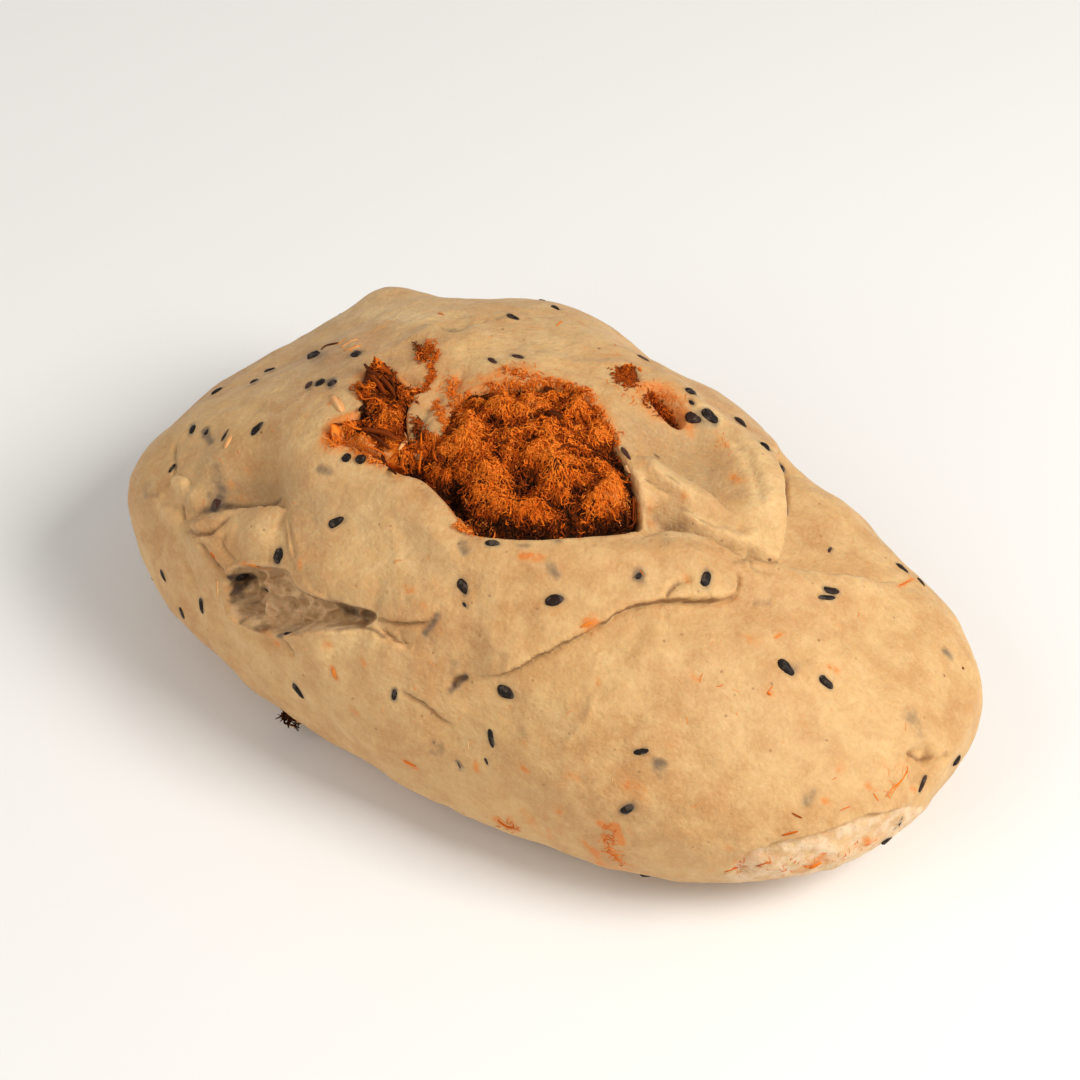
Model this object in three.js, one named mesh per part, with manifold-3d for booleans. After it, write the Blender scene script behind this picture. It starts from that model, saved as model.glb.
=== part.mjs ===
// Chicken floss bun: a soft dough roll folded on itself, with black sesame kneaded into it
// and a pocket on top that is full of shredded, fried chicken.
// Millimetres. +Z is up and +X runs along the bun to its near end. The origin is under
// the middle of the bun, on the surface that it rests on.

import * as THREE from "three";
import { mergeVertices } from "three/addons/utils/BufferGeometryUtils.js";
import Module from "manifold-3d";

// The loaf before any fold.
const halfLength = 76;
const halfWidth = 50;
const rimHeight = 21; // height of its widest line
const crownRise = 29; // mean rise of the top over that line
const crownFall = 0.22; // the top gets lower towards the near end
const crownArch = 0.42; // and lower towards both ends
const frontEgg = 0.29; // the front side is fuller at the near end
const backEgg = -0.52; // the back side is fuller at the far end
const bend = -3; // both ends curve to the front
const squareness = 0.1;
const undersidePower = 0.62; // below 1 the underside is flatter than a ball's
const settle = 0.8; // how far the soft underside sinks flat where it rests

// The mesh of the skin.
const icosahedronDetail = 10;
const rimEdge = 2; // longest edge at the rim of a hollow
const rimMiddle = 0.6; // the rim's finest edges lie this far inside its outline
const foldEdge = 2.8; // longest edge along a fold
const edgeGrowth = 1.5; // how fast the longest edge grows away from them
const clumpEdge = 3.8; // longest edge on the floss
const refineRounds = 3;
const splineSteps = 6;

// The edge of a fold.
const foldStep = 2; // width over which the raised side drops to the other
const grooveWidth = 1;

// The hollows in the skin.
const pocketDepth = 13;
const pocketWall = 2.6; // the walls fall away over this width
const pitCentre = { x: 13.8, y: 15.7 };
const pitHalfLength = 5;
const pitHalfWidth = 2.7;
const pitTurn = -28; // degrees
const pitDepth = 6;
const nookCentre = { x: 5.8, y: 18.6 };
const nookRadius = 2.5;
const nookDepth = 1.5;
const tearDepth = 6.3;
const tearWall = 1.6;

// The floss.
const flossGap = 0.3; // clearance between the floss and the dough
const heapSink = 3; // the heaps' surface runs this far under the skin around them
const clumpCount = 46;
const clumpRadius = 2.8;
const clumpHeight = 2.3;
const rimDrop = 1.2; // how much lower it lies along the rim
const rimReach = 4;

// The sesame seeds.
const seedCount = 58;
const seedLength = 3.1;
const seedWidth = 1.9;
const seedThickness = 1.1;
const seedClearance = 3; // to the rim of a hollow

const wasm = await Module();
wasm.setup();

function seededRandom(seed) {
  let state = seed;
  return () => {
    state = (state * 1664525 + 1013904223) % 4294967296;
    return state / 4294967296;
  };
}

function smooth(value) {
  const u = THREE.MathUtils.clamp(value, 0, 1);
  return u * u * (3 - 2 * u);
}

function bell(distance, radius) {
  return Math.exp(-((distance / radius) ** 2));
}

// The loaf's point in a direction from its middle.
function loafPoint(d) {
  const flat = Math.max(Math.hypot(d.x, d.y), 1e-9);
  const power = d.z > 0 ? 1 : undersidePower;
  const ring = flat ** power;
  const rise = Math.sign(d.z) * Math.abs(d.z) ** power;
  const t = (ring * d.x) / flat;
  const egg = d.y < 0 ? frontEgg : backEgg;
  const across = ((halfWidth * ring * d.y) / flat) * (1 + egg * t) + bend * t * t;
  const crown = crownRise * (1 - crownFall * t + crownArch * (0.5 - t * t));
  return new THREE.Vector3(
    halfLength * t,
    across * (1 + squareness * (t * t - 0.5)),
    rimHeight + (d.z > 0 ? crown : rimHeight) * rise
  );
}

function loafNormal(d) {
  const helper = Math.abs(d.z) < 0.9 ? new THREE.Vector3(0, 0, 1) : new THREE.Vector3(1, 0, 0);
  const first = new THREE.Vector3().crossVectors(d, helper).normalize();
  const second = new THREE.Vector3().crossVectors(d, first);
  const step = 1e-3;
  const slope = (side) => {
    const ahead = loafPoint(d.clone().addScaledVector(side, step).normalize());
    return ahead.sub(loafPoint(d.clone().addScaledVector(side, -step).normalize()));
  };
  const normal = slope(first).cross(slope(second)).normalize();
  return normal.dot(d) < 0 ? normal.negate() : normal;
}

// Direction of the skin over a place (x, y) of the plan.
function top(x, y) {
  const t = x / halfLength;
  const across = y / (1 + squareness * (t * t - 0.5)) - bend * t * t;
  const s = across / halfWidth / (1 + (across < 0 ? frontEgg : backEgg) * t);
  return new THREE.Vector3(t, s, Math.sqrt(Math.max(1 - t * t - s * s, 0)));
}

// Direction of the skin on the front or the back at length x and height z.
function sideways(x, z, sign) {
  const t = x / halfLength;
  const rise = (z - rimHeight) / (crownRise * (1 - crownFall * t + crownArch * (0.5 - t * t)));
  return new THREE.Vector3(t, sign * Math.sqrt(Math.max(1 - t * t - rise * rise, 0)), rise);
}

const front = (x, z) => sideways(x, z, -1);
const back = (x, z) => sideways(x, z, 1);

// Swellings and dents: where the middle is, radius and height.
const lobes = [
  { name: "peak", at: top(-47.2, 38.6), radius: 6, height: 2.6 },
  { name: "behind the peak", at: back(-31, 37), radius: 9, height: -2.4 },
  { name: "back shoulder", at: back(-12, 40), radius: 15, height: 2 },
  { name: "back dip", at: back(4.5, 41), radius: 8, height: -2.8 },
  { name: "right of the dip", at: back(20, 37), radius: 11, height: 0.6 },
  { name: "gap by the near lobe", at: back(37, 33), radius: 7, height: -3.4 },
  { name: "near shoulder", at: back(46, 33), radius: 9, height: 0.8 },
  { name: "near end corner", at: back(67, 27), radius: 9, height: 1 },
  { name: "near tip", at: top(74, -3), radius: 8, height: -0.8 },
  { name: "far slope", at: back(-66, 29), radius: 13, height: -2.2 },
  { name: "far slope upper", at: top(-54, 18), radius: 11, height: -2.4 },
  { name: "far tip", at: top(-73, -8), radius: 9, height: 1.6 },
  { name: "left shoulder", at: top(-38, -13), radius: 11, height: 2.2 },
  { name: "left hollow", at: top(-47, -18.5), radius: 6.5, height: -4.8 },
  { name: "lip rise", at: top(2, -28), radius: 13, height: 1.4 },
  { name: "inner dish", at: top(21, 7), radius: 8.5, height: -3.6 },
  { name: "hollow behind the lip", at: top(21.8, -9.4), radius: 4.2, height: -2.6 },
  { name: "dome crown", at: top(2, 24), radius: 14, height: 1.2 },
  { name: "tongue", at: top(-21, 2), radius: 6, height: -2.6 },
  { name: "wedge", at: top(47, 5), radius: 8, height: -2 },
  { name: "near lobe crown", at: top(46, -22), radius: 18, height: 1.6 },
  { name: "near lobe waist", at: front(5, 33), radius: 12, height: -1.6 },
  { name: "lower left bulge", at: front(-20, 25), radius: 14, height: 1.4 },
  { name: "near end dent", at: front(71.5, 23.5), radius: 4, height: -1.6 },
  { name: "front foot", at: front(-24, 16), radius: 10, height: -0.8 },
];

// Folds: the dough on one side of the path stands proud by rise and evens out over reach,
// and the other side is pressed in by sink. The groove lies along the path.
const folds = [
  {
    name: "flap edge",
    path: [
      top(34.7, -10.7), top(35.6, -14), top(35.8, -16.8), top(33.7, -19.1), top(30.5, -20.9),
      top(26, -23.1), top(21.6, -26.9), top(17.4, -31.8), top(12, -36.4), top(6.1, -40.2),
      top(1.6, -41.2),
    ],
    raised: "right", rise: 1.9, reach: 8, sink: 0.5, groove: 0.5, taperIn: 0.35, taperOut: 0.12,
  },
  {
    name: "dome edge",
    path: [
      top(30.4, 22.5), top(31.8, 17.4), top(33.2, 12.8), top(35, 9.3), top(36.8, 5.2), top(38.2, 2),
      top(39.4, -1.4), top(39.9, -4.8), top(40.2, -8.4),
    ],
    raised: "right", rise: 2.4, reach: 9, sink: 2.2, groove: 0.8, taperIn: 0.12, taperOut: 0.1,
  },
  {
    name: "lip and near crease",
    path: [
      top(19.8, -15.4), top(22.7, -12.6), top(25.7, -11), top(28.7, -10.6), top(31.9, -10.4),
      top(34.8, -10.4), top(37.6, -9.5), top(40.4, -8), top(44.8, -4.7), top(49, -2.2),
      top(52.5, 0.4), top(55.7, 3.4), top(58.3, 6.9),
    ],
    raised: "right", rise: 1.5, reach: 6.5, sink: 1.2, groove: 0.7, taperIn: 0.1, taperOut: 0.35,
  },
  {
    name: "side flap top",
    path: [
      top(-57.4, -23.6), top(-54.4, -23.4), top(-52.2, -22.9), top(-50, -22.8), top(-47.3, -22.6),
      top(-44.5, -22.8), top(-42, -23), top(-39, -23.2), top(-37.6, -23.6),
    ],
    raised: "right", rise: 2.2, reach: 7, sink: 1.2, groove: 0.4, taperIn: 0.15, taperOut: 0.2,
  },
  {
    name: "shoulder end",
    path: [
      top(-37.8, -23.4), top(-36.8, -25.4), top(-35.4, -27.6), top(-34, -29.6), top(-32.3, -31.4),
    ],
    raised: "left", rise: 0.9, reach: 7, sink: 0.3, groove: 0.4, taperIn: 0.15, taperOut: 0.2,
  },
  {
    name: "slit line",
    path: [top(-16.6, -36.4), top(-14, -36.6), top(-11, -36.7), top(-8, -36.3), top(-5.2, -35.7)],
    raised: "left", rise: 1, reach: 5, sink: 0.5, groove: 0.5, taperIn: 0.15, taperOut: 0.4,
  },
  {
    name: "small flap",
    path: [top(-16.6, -36.9), top(-14, -38.3), top(-11.6, -39), top(-7.3, -39.4)],
    raised: "right", rise: 0.9, reach: 5, sink: 0.3, groove: 0.4, taperIn: 0.3, taperOut: 0.5,
  },
  {
    name: "upper crease",
    path: [top(-31.5, 21.5), top(-28, 18.6), top(-24.3, 18.2), top(-21, 25)],
    raised: "right", rise: 1.2, reach: 5, sink: 0.6, groove: 0.4, taperIn: 0.25, taperOut: 0.25,
  },
  {
    name: "dish crease",
    path: [
      top(12.5, 3.5), top(15.5, 2.1), top(18.5, 1.6), top(22.4, 0.5), top(25.9, -0.4),
      top(29.1, -1.7), top(32, -2.6),
    ],
    raised: "right", rise: 0.9, reach: 3, sink: 0.5, groove: 0.3, taperIn: 0.25, taperOut: 0.35,
  },
  {
    name: "underside seam",
    path: [
      front(43, 14), front(46.5, 18.3), front(50, 21.6), front(54.4, 23.4), front(60, 23.6),
      front(65, 23.8), front(68.5, 22.2), front(71.3, 20.4),
    ],
    raised: "left", rise: 0.8, reach: 6, sink: 0.7, groove: 0.3, taperIn: 0.2, taperOut: 0.2,
  },
];

// Rolls, pleats and lumps: a rounded ridge along each path.
const ridges = [
  {
    name: "dome band",
    path: [top(6, 25), top(18, 19), top(29, 11.8), top(34.5, 3.3), top(35, -4)],
    rise: 1.7, width: 3.6,
  },
  {
    name: "dome fold",
    path: [
      top(14, 0.5), top(18, -0.6), top(22, -1.8), top(26, -3), top(30.5, -4),
    ],
    rise: 1, width: 1.9,
  },
  {
    name: "dome second fold",
    path: [
      top(22.5, -5.6), top(26, -6.2), top(29.5, -7.2), top(33, -7.4), top(36, -6.8),
    ],
    rise: 1.1, width: 1.8,
  },
  {
    name: "lip roll",
    path: [
      top(-33, -16.3), top(-24, -18.4), top(-15, -21.6), top(-8, -27), top(2, -26.4), top(10, -24),
      top(20, -18.4), top(28, -14.6), top(34.5, -13.6),
    ],
    rise: 1.4, width: 3.2,
  },
  { name: "pleat one", path: [front(-58, 31.5), front(-53.5, 31), front(-49, 27)], rise: 0.8, width: 0.9 },
  { name: "pleat two", path: [top(-56.5, -22.6), front(-52, 34), front(-47.5, 31)], rise: 0.9, width: 1 },
  { name: "pleat three", path: [top(-54, -23), front(-49.5, 36.2), front(-46, 34.6)], rise: 0.8, width: 0.9 },
  { name: "lump one", path: [top(-61, -15), top(-60.5, -18.5), front(-59, 34)], rise: 1.3, width: 1.8 },
  { name: "lump two", path: [top(-57, -16), top(-55.5, -19)], rise: 1, width: 1.6 },
  {
    name: "rise over the tear",
    path: [front(-46, 38), front(-40, 40.5), front(-33, 41.2), front(-25, 42.2), front(-17, 43.4)],
    rise: 0.9, width: 2.4,
  },
  {
    name: "shelf under the tear",
    path: [front(-46, 26), front(-38, 25.8), front(-30, 28.8), front(-22, 33.2)],
    rise: 0.9, width: 2.6,
  },
];

// A path laid over the loaf, as points on it.
function layOver(path) {
  const curve = new THREE.CatmullRomCurve3(path, false, "catmullrom", 0.5);
  return curve.getPoints(splineSteps * (path.length - 1)).map((d) => loafPoint(d.normalize()));
}

for (const line of [...folds, ...ridges]) line.points = layOver(line.path);
for (const lobe of lobes) lobe.middle = loafPoint(lobe.at);

// Closed outlines of the hollows: the pocket and the pit in plan, the tear seen from the front.
function closedOutline(corners) {
  const points = corners.map(([u, v]) => new THREE.Vector3(u, v, 0));
  return new THREE.CatmullRomCurve3(points, true, "catmullrom", 0.5).getPoints(4 * corners.length);
}

function ovalOutline(centre, halfAlong, halfAcross, turn) {
  const oval = new THREE.EllipseCurve(
    centre.x, centre.y, halfAlong, halfAcross, 0, 2 * Math.PI, false, THREE.MathUtils.degToRad(turn)
  );
  return oval.getPoints(28);
}

const pocketOutline = closedOutline([
  [-33, -13.4], [-35, -11.8], [-34.2, -9.8], [-32.4, -7.4], [-32.4, -4.8], [-34, -1.4],
  [-35.4, 2.4], [-35.4, 6], [-32.8, 6.6], [-30, 4.4], [-27.4, 2.6], [-25.5, 0.6], [-25, -2.2],
  [-23.7, -5.8], [-21.9, -9.2], [-20.2, -12.4], [-18, -12], [-17.2, -8], [-17.6, -4], [-18.4, 0.6],
  [-16.8, 4.2], [-12.2, 6.6], [-7.6, 8], [-3.4, 10], [2.4, 8.6], [10.8, 1.2], [17.2, -6.1],
  [19.6, -13.4], [9, -20.8], [0, -23.8], [-6, -24], [-12.2, -19.9], [-16.7, -17.4], [-20.6, -17],
  [-25.4, -14.9], [-29.8, -13.8],
]);
const tearOutline = closedOutline([
  [-45.6, 31], [-45.2, 34.4], [-42.2, 36.7], [-35.2, 39.4], [-31.6, 38.4], [-26.1, 39.3],
  [-23.2, 40], [-16.6, 40.9], [-18.8, 38], [-27.4, 34.2], [-33, 30.9], [-39.1, 29.2],
  [-43.8, 28.4],
]);
const pitOutline = ovalOutline(pitCentre, pitHalfLength, pitHalfWidth, pitTurn);
const nookOutline = ovalOutline(nookCentre, nookRadius, nookRadius, 0);

// How far inside a closed outline the place (u, v) lies; outside it is negative.
function insideOutline(u, v, outline) {
  let nearest = Infinity;
  let odd = false;
  for (let i = 0; i < outline.length; i++) {
    const a = outline[i];
    const b = outline[(i + 1) % outline.length];
    const ex = b.x - a.x;
    const ey = b.y - a.y;
    const length = ex * ex + ey * ey;
    if (length === 0) continue;
    const share = THREE.MathUtils.clamp(((u - a.x) * ex + (v - a.y) * ey) / length, 0, 1);
    nearest = Math.min(nearest, Math.hypot(u - a.x - share * ex, v - a.y - share * ey));
    if (a.y > v !== b.y > v && u < (ex * (v - a.y)) / ey + a.x) odd = !odd;
  }
  return odd ? nearest : -nearest;
}

function hollowsAt(p, d) {
  const onTop = d.z > 0.3;
  return {
    pocket: onTop ? insideOutline(p.x, p.y, pocketOutline) : -99,
    pit: onTop ? insideOutline(p.x, p.y, pitOutline) : -99,
    nook: onTop ? insideOutline(p.x, p.y, nookOutline) : -99,
    tear: d.y < 0 ? insideOutline(p.x, p.z, tearOutline) : -99,
  };
}

// Signed distance from a line over the skin, positive on its left, and the share of the way along.
function besideLine(p, normal, points) {
  let best = { distance: Infinity, share: 0 };
  let side = 1;
  for (let i = 0; i + 1 < points.length; i++) {
    const run = points[i + 1].clone().sub(points[i]);
    const reach = p.clone().sub(points[i]);
    const share = THREE.MathUtils.clamp(reach.dot(run) / run.lengthSq(), 0, 1);
    reach.addScaledVector(run, -share);
    if (reach.length() >= best.distance) continue;
    best = { distance: reach.length(), share: (i + share) / (points.length - 1) };
    side = Math.sign(normal.clone().cross(run).dot(reach)) || 1;
  }
  return { distance: best.distance * side, share: best.share };
}

// Height of the folded skin over the plain loaf, without the hollows.
function foldedHeight(p, normal) {
  let height = 0;
  for (const lobe of lobes) height += lobe.height * bell(p.distanceTo(lobe.middle), lobe.radius);
  for (const fold of folds) {
    const beside = besideLine(p, normal, fold.points);
    const s = beside.distance * (fold.raised === "left" ? 1 : -1);
    const end = smooth(beside.share / fold.taperIn) * smooth((1 - beside.share) / fold.taperOut);
    const up = smooth(0.5 + s / foldStep);
    height += end * fold.rise * up * bell(Math.max(s, 0), fold.reach);
    height -= end * fold.sink * (1 - up) * bell(Math.min(s, 0), 0.75 * fold.reach);
    height -= end * fold.groove * bell(s, grooveWidth);
  }
  for (const ridge of ridges) {
    const beside = besideLine(p, normal, ridge.points);
    const end = smooth(beside.share / 0.2) * smooth((1 - beside.share) / 0.2);
    height += end * ridge.rise * bell(beside.distance, ridge.width);
  }
  return height;
}

// The floss: how high its heap stands over the skin that it fills, clump by clump.
const clumps = [];
const clumpRandom = seededRandom(11);
for (let i = 0; i < clumpCount; i++) {
  clumps.push({
    x: -38 + 60 * clumpRandom(),
    y: -24 + 40 * clumpRandom(),
    height: clumpHeight * (0.4 + 0.6 * clumpRandom()),
  });
}

function flossLevel(p) {
  const behindTheLip = insideOutline(p.x, p.y, pocketOutline);
  const lipSide = smooth((-6 - p.y + 0.25 * p.x) / 9) * (1 - smooth((behindTheLip - 1) / 5));
  const leftBranch = 1 - smooth((p.x + 24) / 5);
  const byRim = 1 - smooth(behindTheLip / rimReach);
  let level = 0.4 - 3.4 * lipSide - 1.2 * leftBranch;
  level -= rimDrop * byRim * (1 - lipSide) * (1 - leftBranch);
  for (const clump of clumps) {
    level += clump.height * bell(Math.hypot(p.x - clump.x, p.y - clump.y), clumpRadius);
  }
  return level - 0.8;
}

// The point of the dough's skin in a direction. With a gap it is the same skin, but larger.
function doughPoint(d, gap = 0) {
  const p = loafPoint(d);
  const normal = loafNormal(d);
  const inside = hollowsAt(p, d);
  let height = foldedHeight(p, normal) + gap;
  height -= pocketDepth * smooth((inside.pocket - gap) / pocketWall);
  height -= pitDepth * smooth((inside.pit - gap) / pitHalfWidth);
  height -= nookDepth * smooth((inside.nook - gap) / nookRadius);
  height -= tearDepth * smooth(inside.tear / tearWall);
  return settled(p.addScaledVector(normal, height));
}

// The top of the heaps of floss, which drops under the skin outside the hollows.
function heapPoint(d) {
  const p = loafPoint(d);
  const normal = loafNormal(d);
  const inside = hollowsAt(p, d);
  const cover = (distance) => smooth((distance + 0.6) / 1.2);
  const inPocket = cover(inside.pocket);
  const inPit = cover(inside.pit);
  const inNook = cover(inside.nook);
  const covered = Math.max(inPocket, inPit, inNook);
  const sunk = heapSink * (1 - covered) + tearDepth * smooth(inside.tear / tearWall);
  const height = foldedHeight(p, normal) - sunk
    + inPocket * flossLevel(p) - 1.6 * inPit + 1.5 * inNook * smooth(inside.nook / nookRadius);
  return settled(p.addScaledVector(normal, height));
}

function settled(p) {
  p.z = Math.max(p.z - settle, 0);
  return p;
}

// Directions and triangles of the skin: an even ball, split finer along folds and rims.
function skinMesh() {
  const ball = new THREE.IcosahedronGeometry(1, icosahedronDetail);
  ball.deleteAttribute("normal");
  ball.deleteAttribute("uv");
  const merged = mergeVertices(ball, 1e-5);
  const directions = [];
  for (let i = 0; i < merged.attributes.position.count; i++) {
    directions.push(new THREE.Vector3().fromBufferAttribute(merged.attributes.position, i).normalize());
  }
  let triangles = [];
  for (let i = 0; i < merged.index.count; i += 3) {
    triangles.push([merged.index.getX(i), merged.index.getX(i + 1), merged.index.getX(i + 2)]);
  }
  for (let round = 0; round < refineRounds; round++) triangles = refine(directions, triangles);
  return { directions, triangles };
}

// The longest edge that a place on the skin allows.
function edgeLimit(p, d) {
  const normal = loafNormal(d);
  const inside = hollowsAt(p, d);
  const toRim = Math.min(...Object.values(inside).map((distance) => Math.abs(distance - rimMiddle)));
  const toFold = Math.min(...folds.map((fold) => Math.abs(besideLine(p, normal, fold.points).distance)));
  const byRim = Math.max(rimEdge, edgeGrowth * toRim);
  const byFold = Math.max(foldEdge, edgeGrowth * toFold);
  return Math.min(byRim, byFold, inside.pocket > 0 ? clumpEdge : Infinity);
}

// Splits each long edge near a detail in two, and each triangle to suit.
function refine(directions, triangles) {
  const points = directions.map((d) => loafPoint(d));
  const limits = directions.map((d, i) => edgeLimit(points[i], d));
  const middles = new Map();
  const middleOf = (a, b) => {
    if (points[a].distanceTo(points[b]) <= Math.min(limits[a], limits[b])) return -1;
    const key = a < b ? `${a} ${b}` : `${b} ${a}`;
    if (!middles.has(key)) {
      middles.set(key, directions.length);
      directions.push(directions[a].clone().add(directions[b]).normalize());
    }
    return middles.get(key);
  };
  const result = [];
  for (const [a, b, c] of triangles) {
    const ring = [];
    for (const [from, to] of [[a, b], [b, c], [c, a]]) {
      ring.push(from);
      const middle = middleOf(from, to);
      if (middle >= 0) ring.push(middle);
    }
    result.push(...splitRing(ring, new Set([a, b, c])));
  }
  return result;
}

// Cuts off every corner that lies between two split edges, then fans what is left from a middle.
function splitRing(ring, corners) {
  if (ring.length === 3) return [ring];
  const pieces = [];
  const rest = [];
  const isMiddle = (i) => !corners.has(ring[(i + ring.length) % ring.length]);
  for (let i = 0; i < ring.length; i++) {
    if (!isMiddle(i) && isMiddle(i - 1) && isMiddle(i + 1)) {
      pieces.push([ring[(i - 1 + ring.length) % ring.length], ring[i], ring[(i + 1) % ring.length]]);
    } else {
      rest.push(ring[i]);
    }
  }
  const start = rest.findIndex((vertex) => !corners.has(vertex));
  for (let k = 1; k + 1 < rest.length; k++) {
    pieces.push([rest[start], rest[(start + k) % rest.length], rest[(start + k + 1) % rest.length]]);
  }
  return pieces;
}

function solidFrom(points, triangles) {
  return new wasm.Manifold(new wasm.Mesh({
    numProp: 3,
    vertProperties: Float32Array.from(points.flatMap((p) => [p.x, p.y, p.z])),
    triVerts: Uint32Array.from(triangles.flat()),
  }));
}

// One sesame seed lying on the skin: a flat drop, narrower at one end.
function seedSolid(d, turn, size) {
  const seed = new THREE.SphereGeometry(0.5, 5, 4);
  seed.rotateZ(Math.PI / 2);
  const position = seed.attributes.position;
  for (let i = 0; i < position.count; i++) {
    const taper = 1 - 0.5 * position.getX(i);
    position.setXYZ(
      i,
      position.getX(i) * seedLength * size,
      position.getY(i) * seedWidth * size * taper,
      position.getZ(i) * seedThickness * size
    );
  }
  seed.deleteAttribute("normal");
  seed.deleteAttribute("uv");
  const middle = doughPoint(d);
  const upwards = loafNormal(d);
  const placed = new THREE.Matrix4().makeRotationFromQuaternion(
    new THREE.Quaternion().setFromUnitVectors(new THREE.Vector3(0, 0, 1), upwards)
  );
  placed.multiply(new THREE.Matrix4().makeRotationZ(turn));
  seed.applyMatrix4(placed);
  seed.translate(middle.x, middle.y, middle.z);
  const merged = mergeVertices(seed, 1e-4);
  const points = [];
  for (let i = 0; i < merged.attributes.position.count; i++) {
    points.push(new THREE.Vector3().fromBufferAttribute(merged.attributes.position, i));
  }
  const triangles = [];
  for (let i = 0; i < merged.index.count; i += 3) {
    const corners = [merged.index.getX(i), merged.index.getX(i + 1), merged.index.getX(i + 2)];
    if (new Set(corners).size === 3) triangles.push(corners);
  }
  return solidFrom(points, triangles);
}

// Seeds spread evenly over the skin along a spiral, each moved a little from its place.
function seedSolids() {
  const random = seededRandom(5);
  const goldenTurn = Math.PI * (3 - Math.sqrt(5));
  const solids = [];
  for (let i = 0; i < seedCount; i++) {
    const z = 0.97 - (1.3 * (i + 0.5)) / seedCount;
    const bearing = i * goldenTurn + 0.5 * (random() - 0.5);
    const flat = Math.sqrt(1 - z * z);
    const d = new THREE.Vector3(flat * Math.cos(bearing), flat * Math.sin(bearing), z);
    const turn = 2 * Math.PI * random();
    const size = 0.85 + 0.3 * random();
    const inside = Object.values(hollowsAt(loafPoint(d), d));
    if (inside.every((distance) => distance < -seedClearance)) solids.push(seedSolid(d, turn, size));
  }
  return solids;
}

function meshFrom(name, solid, material) {
  const result = solid.getMesh();
  const geometry = new THREE.BufferGeometry();
  geometry.setAttribute("position", new THREE.BufferAttribute(result.vertProperties, 3));
  geometry.setIndex(new THREE.BufferAttribute(result.triVerts, 1));
  const mesh = new THREE.Mesh(geometry, material);
  mesh.name = name;
  return mesh;
}

const doughMaterial = new THREE.MeshStandardMaterial({ color: 0xd8b080, roughness: 0.6, metalness: 0 });
const flossMaterial = new THREE.MeshStandardMaterial({ color: 0xbf5518, roughness: 0.85, metalness: 0 });

const { directions, triangles } = skinMesh();
const plainDough = solidFrom(directions.map((d) => doughPoint(d)), triangles);
const clearOfDough = solidFrom(directions.map((d) => doughPoint(d, flossGap)), triangles);
const heaps = solidFrom(directions.map((d) => heapPoint(d)), triangles);

const dough = wasm.Manifold.union([plainDough, ...seedSolids()]);
const flossPieces = heaps
  .subtract(clearOfDough)
  .decompose()
  .sort((a, b) => b.volume() - a.volume());

const bun = new THREE.Group();
bun.add(meshFrom("dough", dough, doughMaterial));
["floss_filling", "floss_in_pit", "floss_lump"].forEach((name, i) => {
  bun.add(meshFrom(name, flossPieces[i], flossMaterial));
});

const middle = new THREE.Box3().setFromObject(bun).getCenter(new THREE.Vector3());
bun.position.set(-middle.x, -middle.y, 0);

export default bun;
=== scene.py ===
# %% [markdown]
# # Chicken floss bun
# A soft roll of pale dough, folded on itself, with black sesame kneaded in and a pocket on top
# that is full of orange chicken floss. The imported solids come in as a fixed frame, and every
# one of them is replaced here by a finer piece of the same form in the same place.
#
# A baker's shapes are easiest to think of in millimetres, so the dough is worked out in
# millimetres and becomes metres only when its mesh is written.

# %% The frame
import math
import bmesh
import bpy
import numpy as np
from mathutils import Matrix, Vector, noise
from mathutils.bvhtree import BVHTree
from mathutils.geometry import barycentric_transform


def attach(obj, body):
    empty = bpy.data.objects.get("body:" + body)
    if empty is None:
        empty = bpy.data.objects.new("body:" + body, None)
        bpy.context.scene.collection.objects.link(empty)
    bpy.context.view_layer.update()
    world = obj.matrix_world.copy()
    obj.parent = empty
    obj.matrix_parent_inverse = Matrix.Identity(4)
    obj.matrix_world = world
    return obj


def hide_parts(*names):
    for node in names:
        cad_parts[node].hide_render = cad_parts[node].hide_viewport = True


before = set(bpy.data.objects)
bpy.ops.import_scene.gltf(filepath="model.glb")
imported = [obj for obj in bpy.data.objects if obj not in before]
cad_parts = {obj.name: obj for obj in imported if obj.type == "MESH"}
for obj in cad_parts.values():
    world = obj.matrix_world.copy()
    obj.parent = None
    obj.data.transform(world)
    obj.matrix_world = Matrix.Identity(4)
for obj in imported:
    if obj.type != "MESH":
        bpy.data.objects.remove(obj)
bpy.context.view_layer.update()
MM = 0.001
print("solids:", sorted(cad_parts))

# %% [markdown]
# ## The camera
# The picture was taken from a little to the right of the bun's front and from well above it.
# A long lens and a distance of about half a metre give the same flat perspective. The camera
# comes first, because seeds and stains are placed later by where the picture shows them:
# a line of sight through a pixel meets the dough at one point, and there the seed lies.

# %% Camera
CAMERA_BEARING = math.radians(21)
CAMERA_CLIMB = math.radians(45)
CAMERA_DISTANCE = 0.52
PICTURE_SIDE = 1080  # pixels
FOCAL_PIXELS = 3042
SENSOR_WIDTH = 36
AIM = Vector((-3.57, 2.13, 24.01)) * MM

camera_back = Vector((
    math.sin(CAMERA_BEARING) * math.cos(CAMERA_CLIMB),
    -math.cos(CAMERA_BEARING) * math.cos(CAMERA_CLIMB),
    math.sin(CAMERA_CLIMB),
))
camera_right = Vector((math.cos(CAMERA_BEARING), math.sin(CAMERA_BEARING), 0))
camera_up = camera_back.cross(camera_right)
camera_place = AIM + camera_back * CAMERA_DISTANCE

lens = bpy.data.cameras.new("camera")
lens.sensor_width = SENSOR_WIDTH
lens.lens = FOCAL_PIXELS / PICTURE_SIDE * SENSOR_WIDTH
camera = bpy.data.objects.new("camera", lens)
bpy.context.scene.collection.objects.link(camera)
looking = camera_back.to_track_quat("Z", "Y").to_matrix().to_4x4()
camera.matrix_world = Matrix.Translation(camera_place) @ looking
bpy.context.scene.camera = camera


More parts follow.
